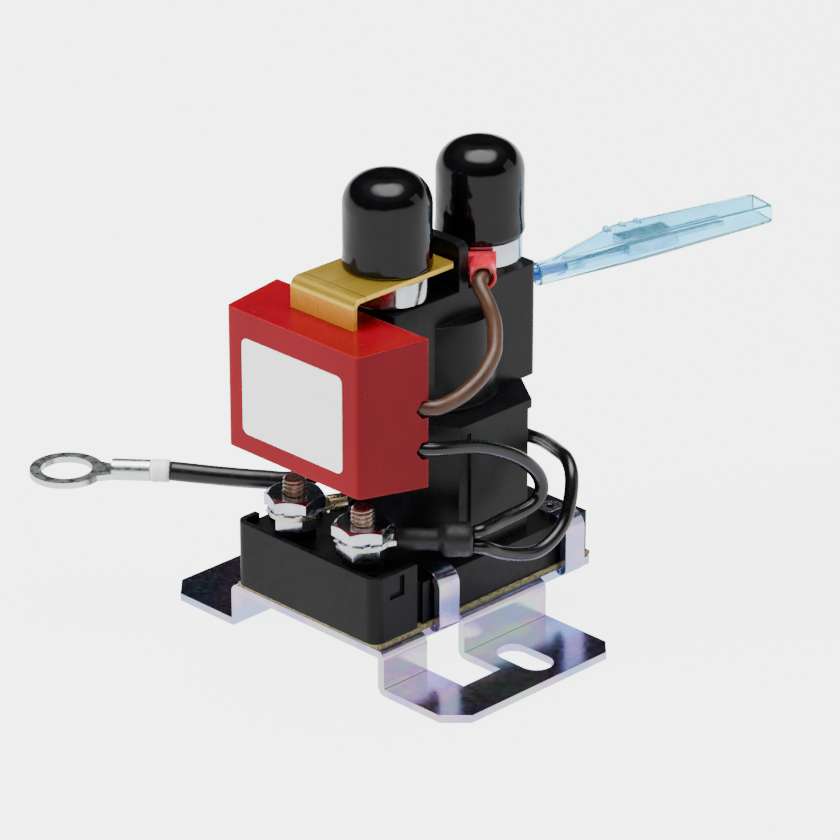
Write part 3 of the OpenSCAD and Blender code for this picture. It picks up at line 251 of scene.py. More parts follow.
def bracket_zinc():
    """Bright zinc with the bluish, lilac and greenish bloom of its passivation, and a painted glint along its edges.
    """
    finish = Finish("bracket_zinc", Metallic=1.0)
    bloom = finish.cloud(95, 3, 0.5, stretch=(1, 0.45, 1.3))
    fine = finish.cloud(420, 5, 0.6, shift=(2, 5, 1))
    both = finish.math("ADD", finish.math("MULTIPLY", bloom, 0.75), finish.math("MULTIPLY", fine, 0.25))
    colour = finish.shades(
        both, (0.30, tint(170, 200, 238)), (0.42, tint(182, 206, 250)), (0.49, tint(206, 192, 248)),
        (0.55, tint(238, 208, 240)), (0.62, tint(212, 238, 222)), (0.72, tint(194, 232, 250)))
    grime = finish.span(finish.cloud(1700, 6, 0.7, shift=(7, 3, 9)), 0.60, 0.72, 0.0, 0.3)
    eased = finish.eased(0.0002)
    # painted highlight: the edges are blended towards near-white as a glint
    bright = finish.blend(finish.edges(eased, 2.5), colour, tint(242, 252, 255))
    finish.set(
        Base_Color=finish.blend(grime, bright, tint(120, 112, 118)),
        Roughness=finish.varied(finish.cloud(900, 5, 0.6, shift=(4, 4, 4)), 0.12, 0.22))
    finish.relief(finish.cloud(1500, 6, 0.7, stretch=(1, 0.25, 1)), 0.000006, eased)
    return finish.material


def board_fibre():
    """Pressed fibre board, olive brown and flecked on its cut edge."""
    finish = Finish("board_fibre", Specular_IOR_Level=0.35)
    flecks = finish.cloud(1500, 6, 0.7, stretch=(1, 1, 2.5))
    finish.set(
        Base_Color=finish.shades(
            flecks, (0.32, tint(52, 48, 30)), (0.48, tint(116, 112, 74)), (0.62, tint(150, 148, 104)),
            (0.75, tint(70, 62, 38))),
        Roughness=finish.varied(finish.cloud(900, 4), 0.5, 0.75))
    finish.relief(flecks, 0.00004)
    return finish.material


def case_red():
    """The module's red casting: deep red, with painted light brightening it towards its left end and a painted
    highlight paling it along its edges.
    """
    finish = Finish("case_red", Coat_Weight=0.04, Coat_Roughness=0.08, Specular_IOR_Level=0.14)
    left_end, painted_glow_until = -0.0168, -0.0120
    eased = finish.eased(0.00035)
    deep = finish.mottled(finish.cloud(60, 3, stretch=(1, 1, 0.6)), tint(112, 0, 15), tint(124, 0, 20))
    # painted light: the red brightens towards the left end, standing in for light glowing through the plastic
    painted_glow_share = finish.span(finish.along("X"), left_end, painted_glow_until, 0.55, 0.0)
    red_with_painted_glow = finish.blend(painted_glow_share, deep, tint(140, 3, 8))
    # painted highlight: the red pales along the rounded edges
    painted_edge_highlight_share = finish.math("MULTIPLY", finish.edges(eased, 3.0), 0.75)
    finish.set(
        Base_Color=finish.blend(painted_edge_highlight_share, red_with_painted_glow, tint(216, 48, 58)),
        Roughness=finish.varied(finish.cloud(420, 4), 0.2, 0.28))
    finish.relief(finish.cloud(900, 3), 0.000003, eased)
    return finish.material


def strap_brass():
    """Rolled brass: brushed along the strap, a scored line short of the bend, darker specks, and a painted highlight
    along its edges.
    """
    finish = Finish("strap_brass", Metallic=0.82)
    score_y = -0.0172
    eased = finish.eased(0.00015)
    brushed = finish.cloud(420, 6, 0.7, stretch=(9, 0.25, 1.2))
    specks = finish.span(finish.cloud(1400, 5, 0.7), 0.64, 0.72, 0.0, 0.35)
    colour = finish.shades(brushed, (0.25, tint(222, 176, 52)), (0.75, tint(248, 212, 88)))
    stained = finish.blend(specks, colour, tint(128, 92, 44))
    off_line = finish.math("ABSOLUTE", finish.math("SUBTRACT", finish.along("Y"), score_y))
    score = finish.span(off_line, 0.0001, 0.00022, 1.0, 0.0)
    # painted highlight: the edges are blended towards pale brass
    brass_with_painted_edge_highlight = finish.blend(finish.math("MULTIPLY", finish.edges(eased, 3.0), 0.6), stained, tint(255, 236, 176))
    finish.set(
        Base_Color=finish.blend(finish.math("MULTIPLY", score, 0.55), brass_with_painted_edge_highlight, tint(120, 84, 34)),
        Roughness=finish.varied(brushed, 0.26, 0.38))
    finish.relief(finish.math("SUBTRACT", brushed, score), 0.00001, eased)
    return finish.material


def label_white():
    """Blank coated label: nearly even white with a faint paper grain."""
    finish = Finish("label_white", Specular_IOR_Level=0.4, Coat_Weight=0.15, Coat_Roughness=0.25)
    finish.set(
        Base_Color=finish.mottled(finish.cloud(500, 5), tint(246, 247, 249), tint(253, 253, 253)),
        Roughness=finish.varied(finish.cloud(1200, 3), 0.35, 0.5))
    finish.relief(finish.cloud(2600, 4), 0.000006, finish.eased(0.0001))
    return finish.material


def cap_vinyl():
    """Dipped black vinyl: very glossy, with shallow waves in the skin."""
    finish = Finish("cap_vinyl", Specular_IOR_Level=0.32)
    finish.set(
        Base_Color=finish.mottled(finish.cloud(300, 3), tint(5, 5, 6), tint(11, 11, 13)),
        Roughness=finish.varied(finish.cloud(800, 3), 0.06, 0.13))
    finish.relief(finish.cloud(150, 2, 0.4), 0.0004)
    return finish.material


def clear_sleeve():
    """Clear soft plastic with a cool tint."""
    finish = Finish("clear_sleeve", Transmission_Weight=0.9, IOR=1.35)
    finish.set(
        Base_Color=finish.mottled(finish.cloud(140, 3), tint(132, 222, 250), tint(178, 240, 254)),
        Roughness=finish.varied(finish.cloud(500, 4), 0.06, 0.16))
    finish.relief(finish.cloud(700, 4), 0.00002)
    return finish.material


def enamelled_wire():
    """Copper winding: turns of fine enamelled wire side by side, the copper painted darker between the turns as shade
    and lighter on their crowns as sheen.
    """
    finish = Finish("enamelled_wire", Metallic=0.85)
    turns = finish.add("ShaderNodeTexWave", {
        "Vector": finish.place(), "Scale": 900.0, "Distortion": 0.4, "Detail": 1.0}, bands_direction="Z").outputs[1]
    # painted shade and sheen: the colour follows the turns' relief, dark in the grooves and light on the crowns
    finish.set(
        Base_Color=finish.shades(turns, (0.1, tint(96, 38, 14)), (0.6, tint(206, 104, 48))),
        Roughness=finish.varied(finish.cloud(600, 3), 0.25, 0.4))
    finish.relief(turns, 0.00005)
    return finish.material


def circuit_green():
    """Circuit board: green resist over faint tracks."""
    finish = Finish("circuit_green", Specular_IOR_Level=0.5)
    tracks = finish.add("ShaderNodeTexBrick", {
        "Vector": finish.place(turn=(math.radians(90), 0, 0)), "Scale": 260.0, "Mortar Size": 0.05,
        "Color1": tint(14, 74, 36), "Color2": tint(20, 92, 46), "Mortar": tint(38, 128, 66)}).outputs[0]
    finish.set(Base_Color=tracks, Roughness=finish.varied(finish.cloud(700, 3), 0.28, 0.45))
    finish.relief(finish.cloud(900, 3), 0.00001)
    return finish.material


FINISHES = {
    "bracket": bracket_zinc(),
    "board": board_fibre(),
    # The lighter edge tints of base, housing and red sleeve are painted edge highlights
    "base": moulded_plastic("base_plastic", tint(7, 7, 8), tint(14, 14, 16), 0.4, edge_highlight_tint=tint(52, 52, 58),
                            edge_highlight_gain=1.5, depth=0.000004, Specular_IOR_Level=0.2),
    "housing": moulded_plastic("housing_plastic", tint(11, 11, 13), tint(20, 20, 23), 0.3, edge_highlight_tint=tint(46, 46, 52),
                               edge_highlight_gain=1.4, depth=0.000003, Specular_IOR_Level=0.2),
    "rivet": plated_metal("rivet_steel", tint(176, 172, 176), tint(222, 220, 224), 0.28),
    "coil_stud": plated_metal("coil_stud_metal", tint(176, 160, 146), tint(226, 212, 198), 0.3, grain=2600),
    "nut": plated_metal("nut_zinc", tint(206, 218, 234), tint(244, 247, 252), 0.16, tone=tint(214, 208, 236)),
    "washer": plated_metal("washer_zinc", tint(188, 202, 222), tint(240, 246, 252), 0.2),
    "tinned": plated_metal("tinned_copper", tint(204, 200, 188), tint(244, 240, 226), 0.26, tone=tint(238, 224, 176)),
    "earth_tin": plated_metal("earth_ring_tin", tint(222, 228, 230), tint(252, 254, 255), 0.3, blotch=120, grain=900),
    "collar": plated_metal("collar_steel", tint(196, 200, 208), tint(240, 242, 246), 0.12),
    "brass": strap_brass(),
    "rod_brass": plated_metal("rod_brass", tint(190, 148, 74), tint(226, 186, 108), 0.3),
    "steel": plated_metal("magnet_steel", tint(120, 122, 128), tint(170, 172, 178), 0.38, grain=900),
    "spring": plated_metal("spring_wire", tint(120, 122, 126), tint(186, 188, 192), 0.26),
    "copper": plated_metal("bar_copper", tint(176, 88, 52), tint(222, 136, 92), 0.3),
    "silver": plated_metal("contact_silver", tint(214, 212, 206), tint(250, 250, 246), 0.2),
    "bobbin": moulded_plastic("bobbin_plastic", tint(214, 206, 184), tint(232, 226, 208), 0.45),
    "winding": enamelled_wire(),
    "red": case_red(),
    "potting": moulded_plastic("potting_red", tint(128, 8, 14), tint(160, 16, 22), 0.3, depth=0.00004, grain=500),
    "circuit": circuit_green(),
    "component": moulded_plastic("component_black", tint(18, 18, 20), tint(34, 34, 38), 0.4),
    "label": label_white(),
    "cap": cap_vinyl(),
    "lug_red": moulded_plastic("sleeve_red", tint(206, 16, 44), tint(232, 36, 66), 0.24, edge=0.0003,
                               edge_highlight_tint=tint(250, 120, 130), Subsurface_Weight=0.2, Subsurface_Scale=0.001),
    "boot": moulded_plastic("boot_black", tint(8, 8, 9), tint(18, 18, 20), 0.5, edge=0.0003, grain=900, depth=0.00003),
    "black_lead": lead_skin("black_lead_skin", tint(7, 7, 8), tint(17, 17, 19), 0.22, Specular_IOR_Level=0.6),
    "black_sleeve": lead_skin("black_sleeve_skin", tint(8, 8, 9), tint(20, 20, 22), 0.3),
    "brown_lead": lead_skin("brown_lead_skin", tint(58, 36, 24), tint(84, 54, 36), 0.34),
    "blue_lead": lead_skin("blue_lead_skin", tint(0, 74, 170), tint(0, 104, 206), 0.26, Specular_IOR_Level=0.6),
    "band": moulded_plastic("band_white", tint(226, 232, 230), tint(246, 250, 248), 0.28, Subsurface_Weight=0.2,
                            Subsurface_Scale=0.001),
    "crimp": plated_metal("crimp_tin", tint(110, 150, 170), tint(206, 226, 236), 0.24, blotch=400),
    "clear": clear_sleeve(),
}

DRESSED = {
    "mounting_bracket": "bracket", "insulating_board": "board", "base_moulding": "base", "base_rivets": "rivet",
    "coil_studs": "coil_stud", "coil_lower_nuts": "nut", "coil_lock_washers": "washer", "coil_upper_nuts": "nut",
    "coil_ring_lug": "tinned", "coil_lug_boot": "boot", "drive_ring_lug": "tinned", "drive_lead": "black_lead",
    "coil_housing": "housing", "contact_housing": "housing", "magnet_can": "steel", "pole_plate": "steel",
    "fixed_core": "steel", "coil_bobbin": "bobbin", "coil_winding": "winding", "coil_terminal_strips": "copper",
    "plunger": "steel", "push_rod": "rod_brass", "return_spring": "spring", "contact_spring": "spring",
    "contact_bridge": "copper", "bridge_bush": "bobbin", "bridge_contacts": "silver", "rod_clip": "steel",
    "main_studs": "collar", "collar_nuts": "collar", "main_lock_washers": "washer", "main_nuts": "nut",
    "brass_strap": "brass", "cap_front": "cap", "cap_rear": "cap", "sense_ring_lug": "tinned",
    "sense_lug_sleeve": "lug_red", "sense_lead": "brown_lead", "module_case": "red", "module_potting": "potting",
    "circuit_board": "circuit", "board_components": "component", "blank_label": "label",
    "module_earth_lead": "black_lead", "earth_lead": "black_lead", "earth_lead_sleeve": "black_sleeve",
    "earth_band": "band", "earth_ring_terminal": "earth_tin", "trigger_lead": "blue_lead",
    "trigger_terminal": "crimp", "trigger_sleeve": "clear",
}
for node_name, finish_name in DRESSED.items():
    mesh = nodes[node_name].data
    mesh.materials.clear()
    mesh.materials.append(FINISHES[finish_name])


# How a piece is made


def settle(name, mesh, body, replaces):
    """An object of a finished mesh, riding on its body in place of the nodes that it replaces."""
    made = bpy.data.objects.new(name, mesh)
    bpy.context.scene.collection.objects.link(made)
    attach(made, body)
    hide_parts(*replaces)
    return made


def piece(name, points, faces, finish, body, slot, replaces, spread=None):
    """A smooth mesh piece in the frame. spread gives the places of its pattern, one list per face."""
    mesh = bpy.data.meshes.new(name)
    mesh.from_pydata([tuple(p) for p in points], [], faces)
    mesh.validate()
    if spread is not None:
        layer = mesh.uv_layers.new(name="along_and_round")
        corners = [uv for face in spread for uv in face]
        for loop, uv in zip(layer.data, corners):
            loop.uv = uv
    mesh.polygons.foreach_set("use_smooth", [True] * len(mesh.polygons))
    mesh.materials.append(FINISHES[finish])
    return settle(name, mesh, body, replaces)


def eased_run(route, steps):
    """A smooth line through the points of a route, with so many steps in each span."""
    last = len(route) - 1
    line = []
    for i in range(last):
        a, b, c, d = route[max(i - 1, 0)], route[i], route[i + 1], route[min(i + 2, last)]
        leave, arrive = (c - a) / 2, (d - b) / 2
        for k in range(steps):
            u = k / steps
            line.append((2 * u**3 - 3 * u**2 + 1) * b + (u**3 - 2 * u**2 + u) * leave
                        + (3 * u**2 - 2 * u**3) * c + (u**3 - u**2) * arrive)
    return line + [route[last]]


def skin_along(line, radius, first, last, sides=20, wave=0.02, waves_per_metre=220):
    """Points, faces and pattern places of a round, slightly uneven skin along a line, closed at both ends.
    first and last are its headings at the ends."""
    count = len(line)
    heading = [(line[min(i + 1, count - 1)] - line[max(i - 1, 0)]).normalized() for i in range(count)]
    heading[0], heading[-1] = first.normalized(), last.normalized()
    side = Vector((0, 0, 1)) if abs(heading[0].z) < 0.9 else Vector((1, 0, 0))
    points, travelled, along = [], [], 0.0
    for i, centre in enumerate(line):
        side = (side - heading[i] * side.dot(heading[i])).normalized()
        across = heading[i].cross(side)
        along += (centre - line[i - 1]).length if i else 0.0
        travelled.append(along / MM)
        size = radius * (1 + wave * noise.noise(centre * waves_per_metre))
        for k in range(sides):
            a = 2 * math.pi * k / sides
            points.append(centre + size * (math.cos(a) * side + math.sin(a) * across))
    faces, spread = [], []
    for i in range(count - 1):
        for k in range(sides):
            a, b = i * sides + k, i * sides + (k + 1) % sides
            faces.append((a, b, b + sides, a + sides))
            spread.append([(k / sides, travelled[i]), ((k + 1) / sides, travelled[i]),
                           ((k + 1) / sides, travelled[i + 1]), (k / sides, travelled[i + 1])])
    faces.append(tuple(reversed(range(sides))))
    spread.append([(0, travelled[0])] * sides)
    faces.append(tuple((count - 1) * sides + k for k in range(sides)))
    spread.append([(0, travelled[-1])] * sides)
    return points, faces, spread


def lead(name, route, diameter, finish, slot, replaces, first, last, steps=8):
    """A round lead along a route, with its headings at both ends; returns the piece and its line."""
    line = eased_run(route, steps)
    points, faces, spread = skin_along(line, diameter / 2, first, last)
    return piece(name, points, faces, finish, "relay", slot, replaces, spread), line


def level(degrees):
    """A level heading, turned from X towards Y."""
    return Vector((math.cos(math.radians(degrees)), math.sin(math.radians(degrees)), 0))


# Leads: the same routes as the solids

LEAD = 2.3 * MM
SENSE_LEAD = 2.5 * MM
EARTH_SLEEVE = 3.2 * MM
SENSE_LUG_EXIT, EARTH_SLEEVE_ENTRY, DRIVE_LUG_EXIT = level(-43), level(-68), level(65)
MODULE_RIGHT, MODULE_LEFT = Vector((1, 0, 0)), Vector((-1, 0, 0))
UP = Vector((0, 0, 1))

sense_route = [spot(*p) for p in (
    (8.8, 7.3, 60.9), (9.5, 6.3, 60.8), (10.3, 5, 60.2), (13, 4.2, 58.1), (15, 3.5, 55.8), (16.6, 2.1, 53.6),
    (17.8, 0.5, 51.9), (18.8, -2.8, 49.9), (19, -6, 48.4), (18.8, -9.3, 47.4), (18.2, -12.6, 47),
    (15.8, -14.3, 46.9))]
module_earth_route = [spot(*p) for p in (
    (15.8, -14.4, 39.8), (18.2, -12, 39.7), (19.5, -5.2, 38.3), (20.5, 0, 36.1), (21.5, 4, 33.4), (22, 6.8, 30.1),
    (22, 7.4, 27), (21.5, 5.4, 25), (20.8, -0.2, 24.2), (21.2, -5.2, 24.2), (20.34, -6.36, 23.9))]
earth_route = [spot(*p) for p in (
    (20.34, -6.36, 21.5), (21.5, -4.9, 21.1), (21.9, -1.9, 19.4), (22.4, 2.2, 17.8), (23, 5.9, 17.4), (23, 9.7, 18.6),
    (22.6, 12.7, 20.9), (21.9, 14.6, 24.4), (20.4, 16.2, 27), (17.8, 17.8, 28.1), (14.4, 19.5, 27.8),
    (8.3, 22.5, 26.6), (4, 23.5, 25.9), (-4, 23.6, 25.4), (-11, 21, 25), (-16.4, 15.6, 24.7), (-18.8, 7.6, 24.4),
    (-17.6, 0, 24.2))]
earth_sleeve_route = [spot(*p) for p in (
    (-17.6, 0, 24.2), (-15.6, -4.8, 24), (-14, -9, 23.6), (-15.2, -12.9, 23.3), (-18.2, -15.5, 23.4),
    (-21, -17.8, 23.5), (-25, -20.9, 23.7), (-30.85, -25.21, 24))]
trigger_route = [spot(*p) for p in (
    (-15.5, -14.4, 46.9), (-17.9, -12.6, 46.9), (-18.8, -7, 47.2), (-17.6, 1, 48), (-15.2, 10.4, 49.4),
    (-12, 18.5, 51), (-8.2, 23.1, 52.4), (-2, 22.9, 53.6), (1.6, 22.8, 54.4), (3.98, 24.8, 54.5),
    (5.17, 29.55, 54.5))]
drive_route = [spot(*p) for p in (
    (-4.24, -10.95, 22.7), (-3.7, -9.8, 24.3), (-4.2, -11, 27), (-5, -13.5, 30.4), (-5.2, -15.4, 33),
    (-5.2, -15.4, 34.9))]

sense_lead, sense_line = lead(
    "brown_sensing_lead", sense_route, SENSE_LEAD, "brown_lead", "lead_brown", ["sense_lead"],
    first=SENSE_LUG_EXIT, last=MODULE_LEFT)
module_earth_lead, module_earth_line = lead(
    "module_to_boot_lead", module_earth_route, LEAD, "black_lead", "black_lead", ["module_earth_lead"],
    first=MODULE_RIGHT, last=-level(COIL_LUG_TURN))
earth_lead, earth_line = lead(
    "earth_lead_core", earth_route + earth_sleeve_route[1:], LEAD, "black_lead", "black_lead", ["earth_lead"],
    first=level(COIL_LUG_TURN), last=-level(EARTH_TURN), steps=6)
earth_sleeve, _ = lead(
    "earth_lead_tubing", earth_sleeve_route, EARTH_SLEEVE, "black_sleeve", "black_lead", ["earth_lead_sleeve"],
    first=EARTH_SLEEVE_ENTRY, last=-level(EARTH_TURN))
trigger_lead, trigger_line = lead(
    "blue_trigger_lead", trigger_route, LEAD, "blue_lead", "lead_blue", ["trigger_lead"],
    first=MODULE_LEFT, last=level(SLEEVE_TURN))
lead("coil_drive_lead", drive_route, LEAD, "black_lead", "black_lead", ["drive_lead"],
     first=DRIVE_LUG_EXIT, last=UP)


# Turned and lofted pieces


def turned(profile, centre, axis=UP, sides=48, oval=0.0, dents=0.0, dents_per_metre=160):
    """Points and faces of a closed skin turned about an axis. profile holds (radius, height) pairs in metres, from the
    axis or round a bore; a radius of zero at an end closes it on the axis."""
    axis = axis.normalized()
    side = Vector((0, 0, 1)) if abs(axis.z) < 0.9 else Vector((1, 0, 0))
    side = (side - axis * side.dot(axis)).normalized()
    across = axis.cross(side)
    points, rings = [], []
    for radius, height in profile:
        if radius == 0:
            rings.append([len(points)])
            points.append(centre + axis * height)
            continue
        ring = []
        for k in range(sides):
            a = 2 * math.pi * k / sides
            out = math.cos(a) * (1 - oval) * side + math.sin(a) * across
            place = centre + axis * height + out * radius
            place -= out * radius * dents * (0.5 + 0.5 * noise.noise(place * dents_per_metre))
            ring.append(len(points))
            points.append(place)
        rings.append(ring)
    faces = []
    pairs = list(zip(rings, rings[1:]))
    if len(rings[0]) > 1 and len(rings[-1]) > 1:
        pairs.append((rings[-1], rings[0]))
    for low, high in pairs:
        for k in range(sides):
            n = (k + 1) % sides
            if len(low) == 1:
                faces.append((low[0], high[n], high[k]))
            elif len(high) == 1:
                faces.append((low[k], low[n], high[0]))
            else:
                faces.append((low[k], low[n], high[n], high[k]))
    return points, faces


def rounded_corner(centre, radius, start, end, steps=8):
    """Points of a corner's arc, as (radius, height) pairs."""
    found = []
    for i in range(steps + 1):
        a = math.radians(start + (end - start) * i / steps)
        found.append((centre[0] + radius * math.cos(a), centre[1] + radius * math.sin(a)))
    return found


def vinyl_cap(name, stud_y, body, replaces):
    """A dipped vinyl cap: rolled lip, straight wall, round shoulder and slightly dished crown, hollow below."""
    outer, height, wall, shoulder = 7.35, 15.6, 1.0, 5.2
    bore = outer - wall
    lining = [(0, height - 1.25)]
    lining += rounded_corner((bore - shoulder + wall, height - shoulder - 0.2), shoulder - wall, 88, 0)
    lining += [(bore, 6), (bore, 0.6), (bore + 0.25, 0.1)]
    lip = [(outer - 0.5, 0.0), (outer - 0.12, 0.15), (outer, 0.5), (outer, 1.0), (outer - 0.1, 1.6)]
    skin = [(outer - 0.13, 3), (outer - 0.12, 6)]
    skin += rounded_corner((outer - shoulder - 0.1, height - shoulder), shoulder, 0, 84, 12)
    crown = [(1.2, height - 0.02), (0, height - 0.1)]
    points, faces = turned(sized(*lining, *lip, *skin, *crown), spot(0, stud_y, CAP_SEAT), sides=64, dents=0.004)
    return piece(name, points, faces, "cap", body, "cap_black", replaces)


vinyl_cap("front_terminal_cap", FRONT_STUD_Y, "front_cap", ["cap_front"])
vinyl_cap("rear_terminal_cap", REAR_STUD_Y, "rear_cap", ["cap_rear"])

# The earth terminal's band, slightly waisted where it was shrunk on
earth_band = piece("earth_terminal_band", *turned(
    sized((1.15, 13.95), (1.75, 13.95), (1.98, 14.2), (1.99, 14.9), (1.9, 15.5), (1.98, 16.2), (1.96, 16.9),
          (1.7, 17.1), (1.15, 17.1)),
    spot(*EARTH_RING), level(EARTH_TURN), sides=32, oval=0.04), "band", "relay", "band_white", ["earth_band"])

# The boot on the right coil lug: a shrunk sleeve that swells where two leads leave it
piece("coil_lug_shrunk_boot", *turned(
    sized((1.56, 5.45), (1.72, 5.4), (1.88, 5.7), (1.95, 7.6), (1.86, 9.6), (1.8, 10.4), (1.9, 11.6), (1.95, 12.3),
          (2.5, 12.6), (2.92, 13.1), (2.99, 14.0), (2.9, 15.2), (2.98, 16.2), (2.85, 17.1), (2.4, 17.5), (0, 17.55)),
    spot(COIL_STUD_X, COIL_STUD_Y, COIL_LUG_HEIGHT), level(COIL_LUG_TURN), sides=36, oval=0.03, dents=0.02),
      "boot", "relay", "black_boot", ["coil_lug_boot"])


# The trigger connector's clear sleeve

sleeve_place = (Matrix.Translation(spot(*SLEEVE_TAIL)) @ Matrix.Rotation(math.radians(SLEEVE_TURN), 4, "Z")
                @ Matrix.Rotation(math.radians(-SLEEVE_RISE), 4, "Y"))
SLEEVE_WALL = 0.6
SLEEVE_CORNER_STEPS = 6
# Distance from the tail, width, height, corner radius and lift, in millimetres
SLEEVE_STATIONS = (
    (0.0, 3.9, 3.9, 1.95, 0.0), (0.25, 3.9, 3.9, 1.95, 0.0), (3.0, 3.9, 3.9, 1.95, 0.0),
    (5.5, 4.5, 3.98, 1.8, 0.25), (8.5, 5.35, 4.08, 1.5, 0.6), (10.5, 5.85, 4.14, 1.3, 0.82),
    (13.5, 6.7, 4.28, 1.05, 1.18), (16.0, 7.35, 4.37, 0.85, 1.45), (17.0, 7.58, 4.38, 0.75, 1.55),
    (18.2, 7.55, 4.35, 0.7, 1.55), (26.0, 7.2, 4.08, 0.7, 1.55), (35.0, 6.82, 3.74, 0.7, 1.55),
    (43.9, 6.42, 3.42, 0.7, 1.55), (44.4, 6.36, 3.36, 0.7, 1.55), (44.5, 6.2, 3.2, 0.65, 1.55))
GRIP_RIBS, FIRST_RIB, RIB_PITCH, RIB_WIDTH, RIB_TAPER = 3, 14.6, 3, 1, 0.15
RIB_SIDES, RIB_HEIGHTS = (1.5, 3.1), (3.3, 4.1)


def sleeve_ring(x, width, height, corner, lift):
    """One cross-section of the sleeve: a rectangle with round corners, all in millimetres."""
    ring = []
    for quarter in range(4):
        for k in range(SLEEVE_CORNER_STEPS + 1):
            a = math.radians(90 * quarter + 90 / SLEEVE_CORNER_STEPS * k)
            y = (1 if quarter in (0, 3) else -1) * (width / 2 - corner) + corner * math.cos(a)
            z = lift + (1 if quarter < 2 else -1) * (height / 2 - corner) + corner * math.sin(a)
            ring.append(sleeve_place @ spot(x, y, z))
    return ring


def sleeve_sections(wall, least_corner=0.25):
    """The sleeve from its round tail over the neck and the shoulder to its mouth, so far inside its skin."""
    return [sleeve_ring(x, width - 2 * wall, height - 2 * wall, max(corner - wall, least_corner), lift)
            for x, width, height, corner, lift in SLEEVE_STATIONS]


def clear_shell():
    """Outside and lining of the sleeve, joined at tail and mouth, with the grip ribs on its far top edge."""
    outside, lining = sleeve_sections(0), sleeve_sections(SLEEVE_WALL)
    loop = len(outside[0])
    rings = outside + lining[::-1]
    points = [p for ring in rings for p in ring]
    faces = []
    for i in range(len(rings)):
        j = (i + 1) % len(rings)
        for k in range(loop):
            n = (k + 1) % loop
            faces.append((i * loop + k, i * loop + n, j * loop + n, j * loop + k))
    for rib in range(GRIP_RIBS):
        start = len(points)
        for z, inset in zip(RIB_HEIGHTS, (0, RIB_TAPER)):
            near, far = FIRST_RIB + RIB_PITCH * rib + inset, FIRST_RIB + RIB_PITCH * rib + RIB_WIDTH - inset
            left, right = RIB_SIDES[0] + inset, RIB_SIDES[1] - inset
            points += [sleeve_place @ spot(x, y, z) for x, y in (
                (near, left), (far, left), (far, right), (near, right))]
        for face in ((3, 2, 1, 0), (4, 5, 6, 7), (0, 1, 5, 4), (1, 2, 6, 5), (2, 3, 7, 6), (3, 0, 4, 7)):
            faces.append(tuple(start + v for v in face))
    return points, faces


trigger_sleeve = piece("clear_connector_sleeve", *clear_shell(), "clear", "relay", "clear_sleeve", ["trigger_sleeve"])


# Geometry trees for what repeats: stud threads and washer teeth


class Tree:
    """A geometry tree with named inputs."""

    def __init__(self, name, inputs):
        self.tree = bpy.data.node_groups.new(name, "GeometryNodeTree")
        self.sockets = {}
        self.tree.interface.new_socket("Geometry", in_out="INPUT", socket_type="NodeSocketGeometry")
        for label, kind in inputs:
            made = self.tree.interface.new_socket(label, in_out="INPUT", socket_type="NodeSocket" + kind)
            self.sockets[label] = made.identifier
        self.tree.interface.new_socket("Geometry", in_out="OUTPUT", socket_type="NodeSocketGeometry")
        self.start = self.tree.nodes.new("NodeGroupInput")
        self.end = self.tree.nodes.new("NodeGroupOutput")

    def value(self, label):
        """One of the named inputs."""
        return self.start.outputs[label]

    def add(self, kind, inputs=(), **settings):
        """A new node of this tree."""
        return add_node(self.tree, kind, inputs, settings)

    def math(self, operation, a, b=0.0):
        """The result of a sum on one or two numbers."""
        return self.add("ShaderNodeMath", {0: a, 1: b}, operation=operation).outputs[0]

    def along_row(self, count, instance):
        """Copies of an instance in a row from First Place, one Step apart."""
        row = self.add("GeometryNodeMeshLine", {
            "Count": self.value(count), "Start Location": self.value("First Place"),
            "Offset": self.value("Step")}).outputs[0]
        return self.add("GeometryNodeInstanceOnPoints", {"Points": row, "Instance": instance}).outputs[0]

    def finish(self, repeated):
        """Joins what repeats to the mesh that the tree runs on, and ends the tree."""
        both = self.add("GeometryNodeJoinGeometry")
        self.tree.links.new(self.start.outputs["Geometry"], both.inputs[0])
        self.tree.links.new(repeated, both.inputs[0])
        realized = self.add("GeometryNodeRealizeInstances", {0: both.outputs[0]}).outputs[0]
        dressed = self.add("GeometryNodeSetMaterial", {"Geometry": realized, "Material": self.value("Finish")})
        self.tree.links.new(dressed.outputs[0], self.end.inputs[0])

    def grow(self, name, mesh, values, body, slot, replaces, smooth_angle):
        """Runs the tree on a mesh, keeps the result as a plain piece and drops the tree from it."""
        carrier = bpy.data.objects.new(name + "_seed", mesh)
        bpy.context.scene.collection.objects.link(carrier)
        modifier = carrier.modifiers.new("grow", "NODES")
        modifier.node_group = self.tree
        for label, value in values.items():
            modifier[self.sockets[label]] = value
        bpy.context.view_layer.update()
        depsgraph = bpy.context.evaluated_depsgraph_get()
        grown = bpy.data.meshes.new_from_object(carrier.evaluated_get(depsgraph))
        grown.name = name
        bpy.data.objects.remove(carrier)
        grown.polygons.foreach_set("use_smooth", [True] * len(grown.polygons))
        grown.set_sharp_from_angle(angle=math.radians(smooth_angle))
        return settle(name, grown, body, replaces)


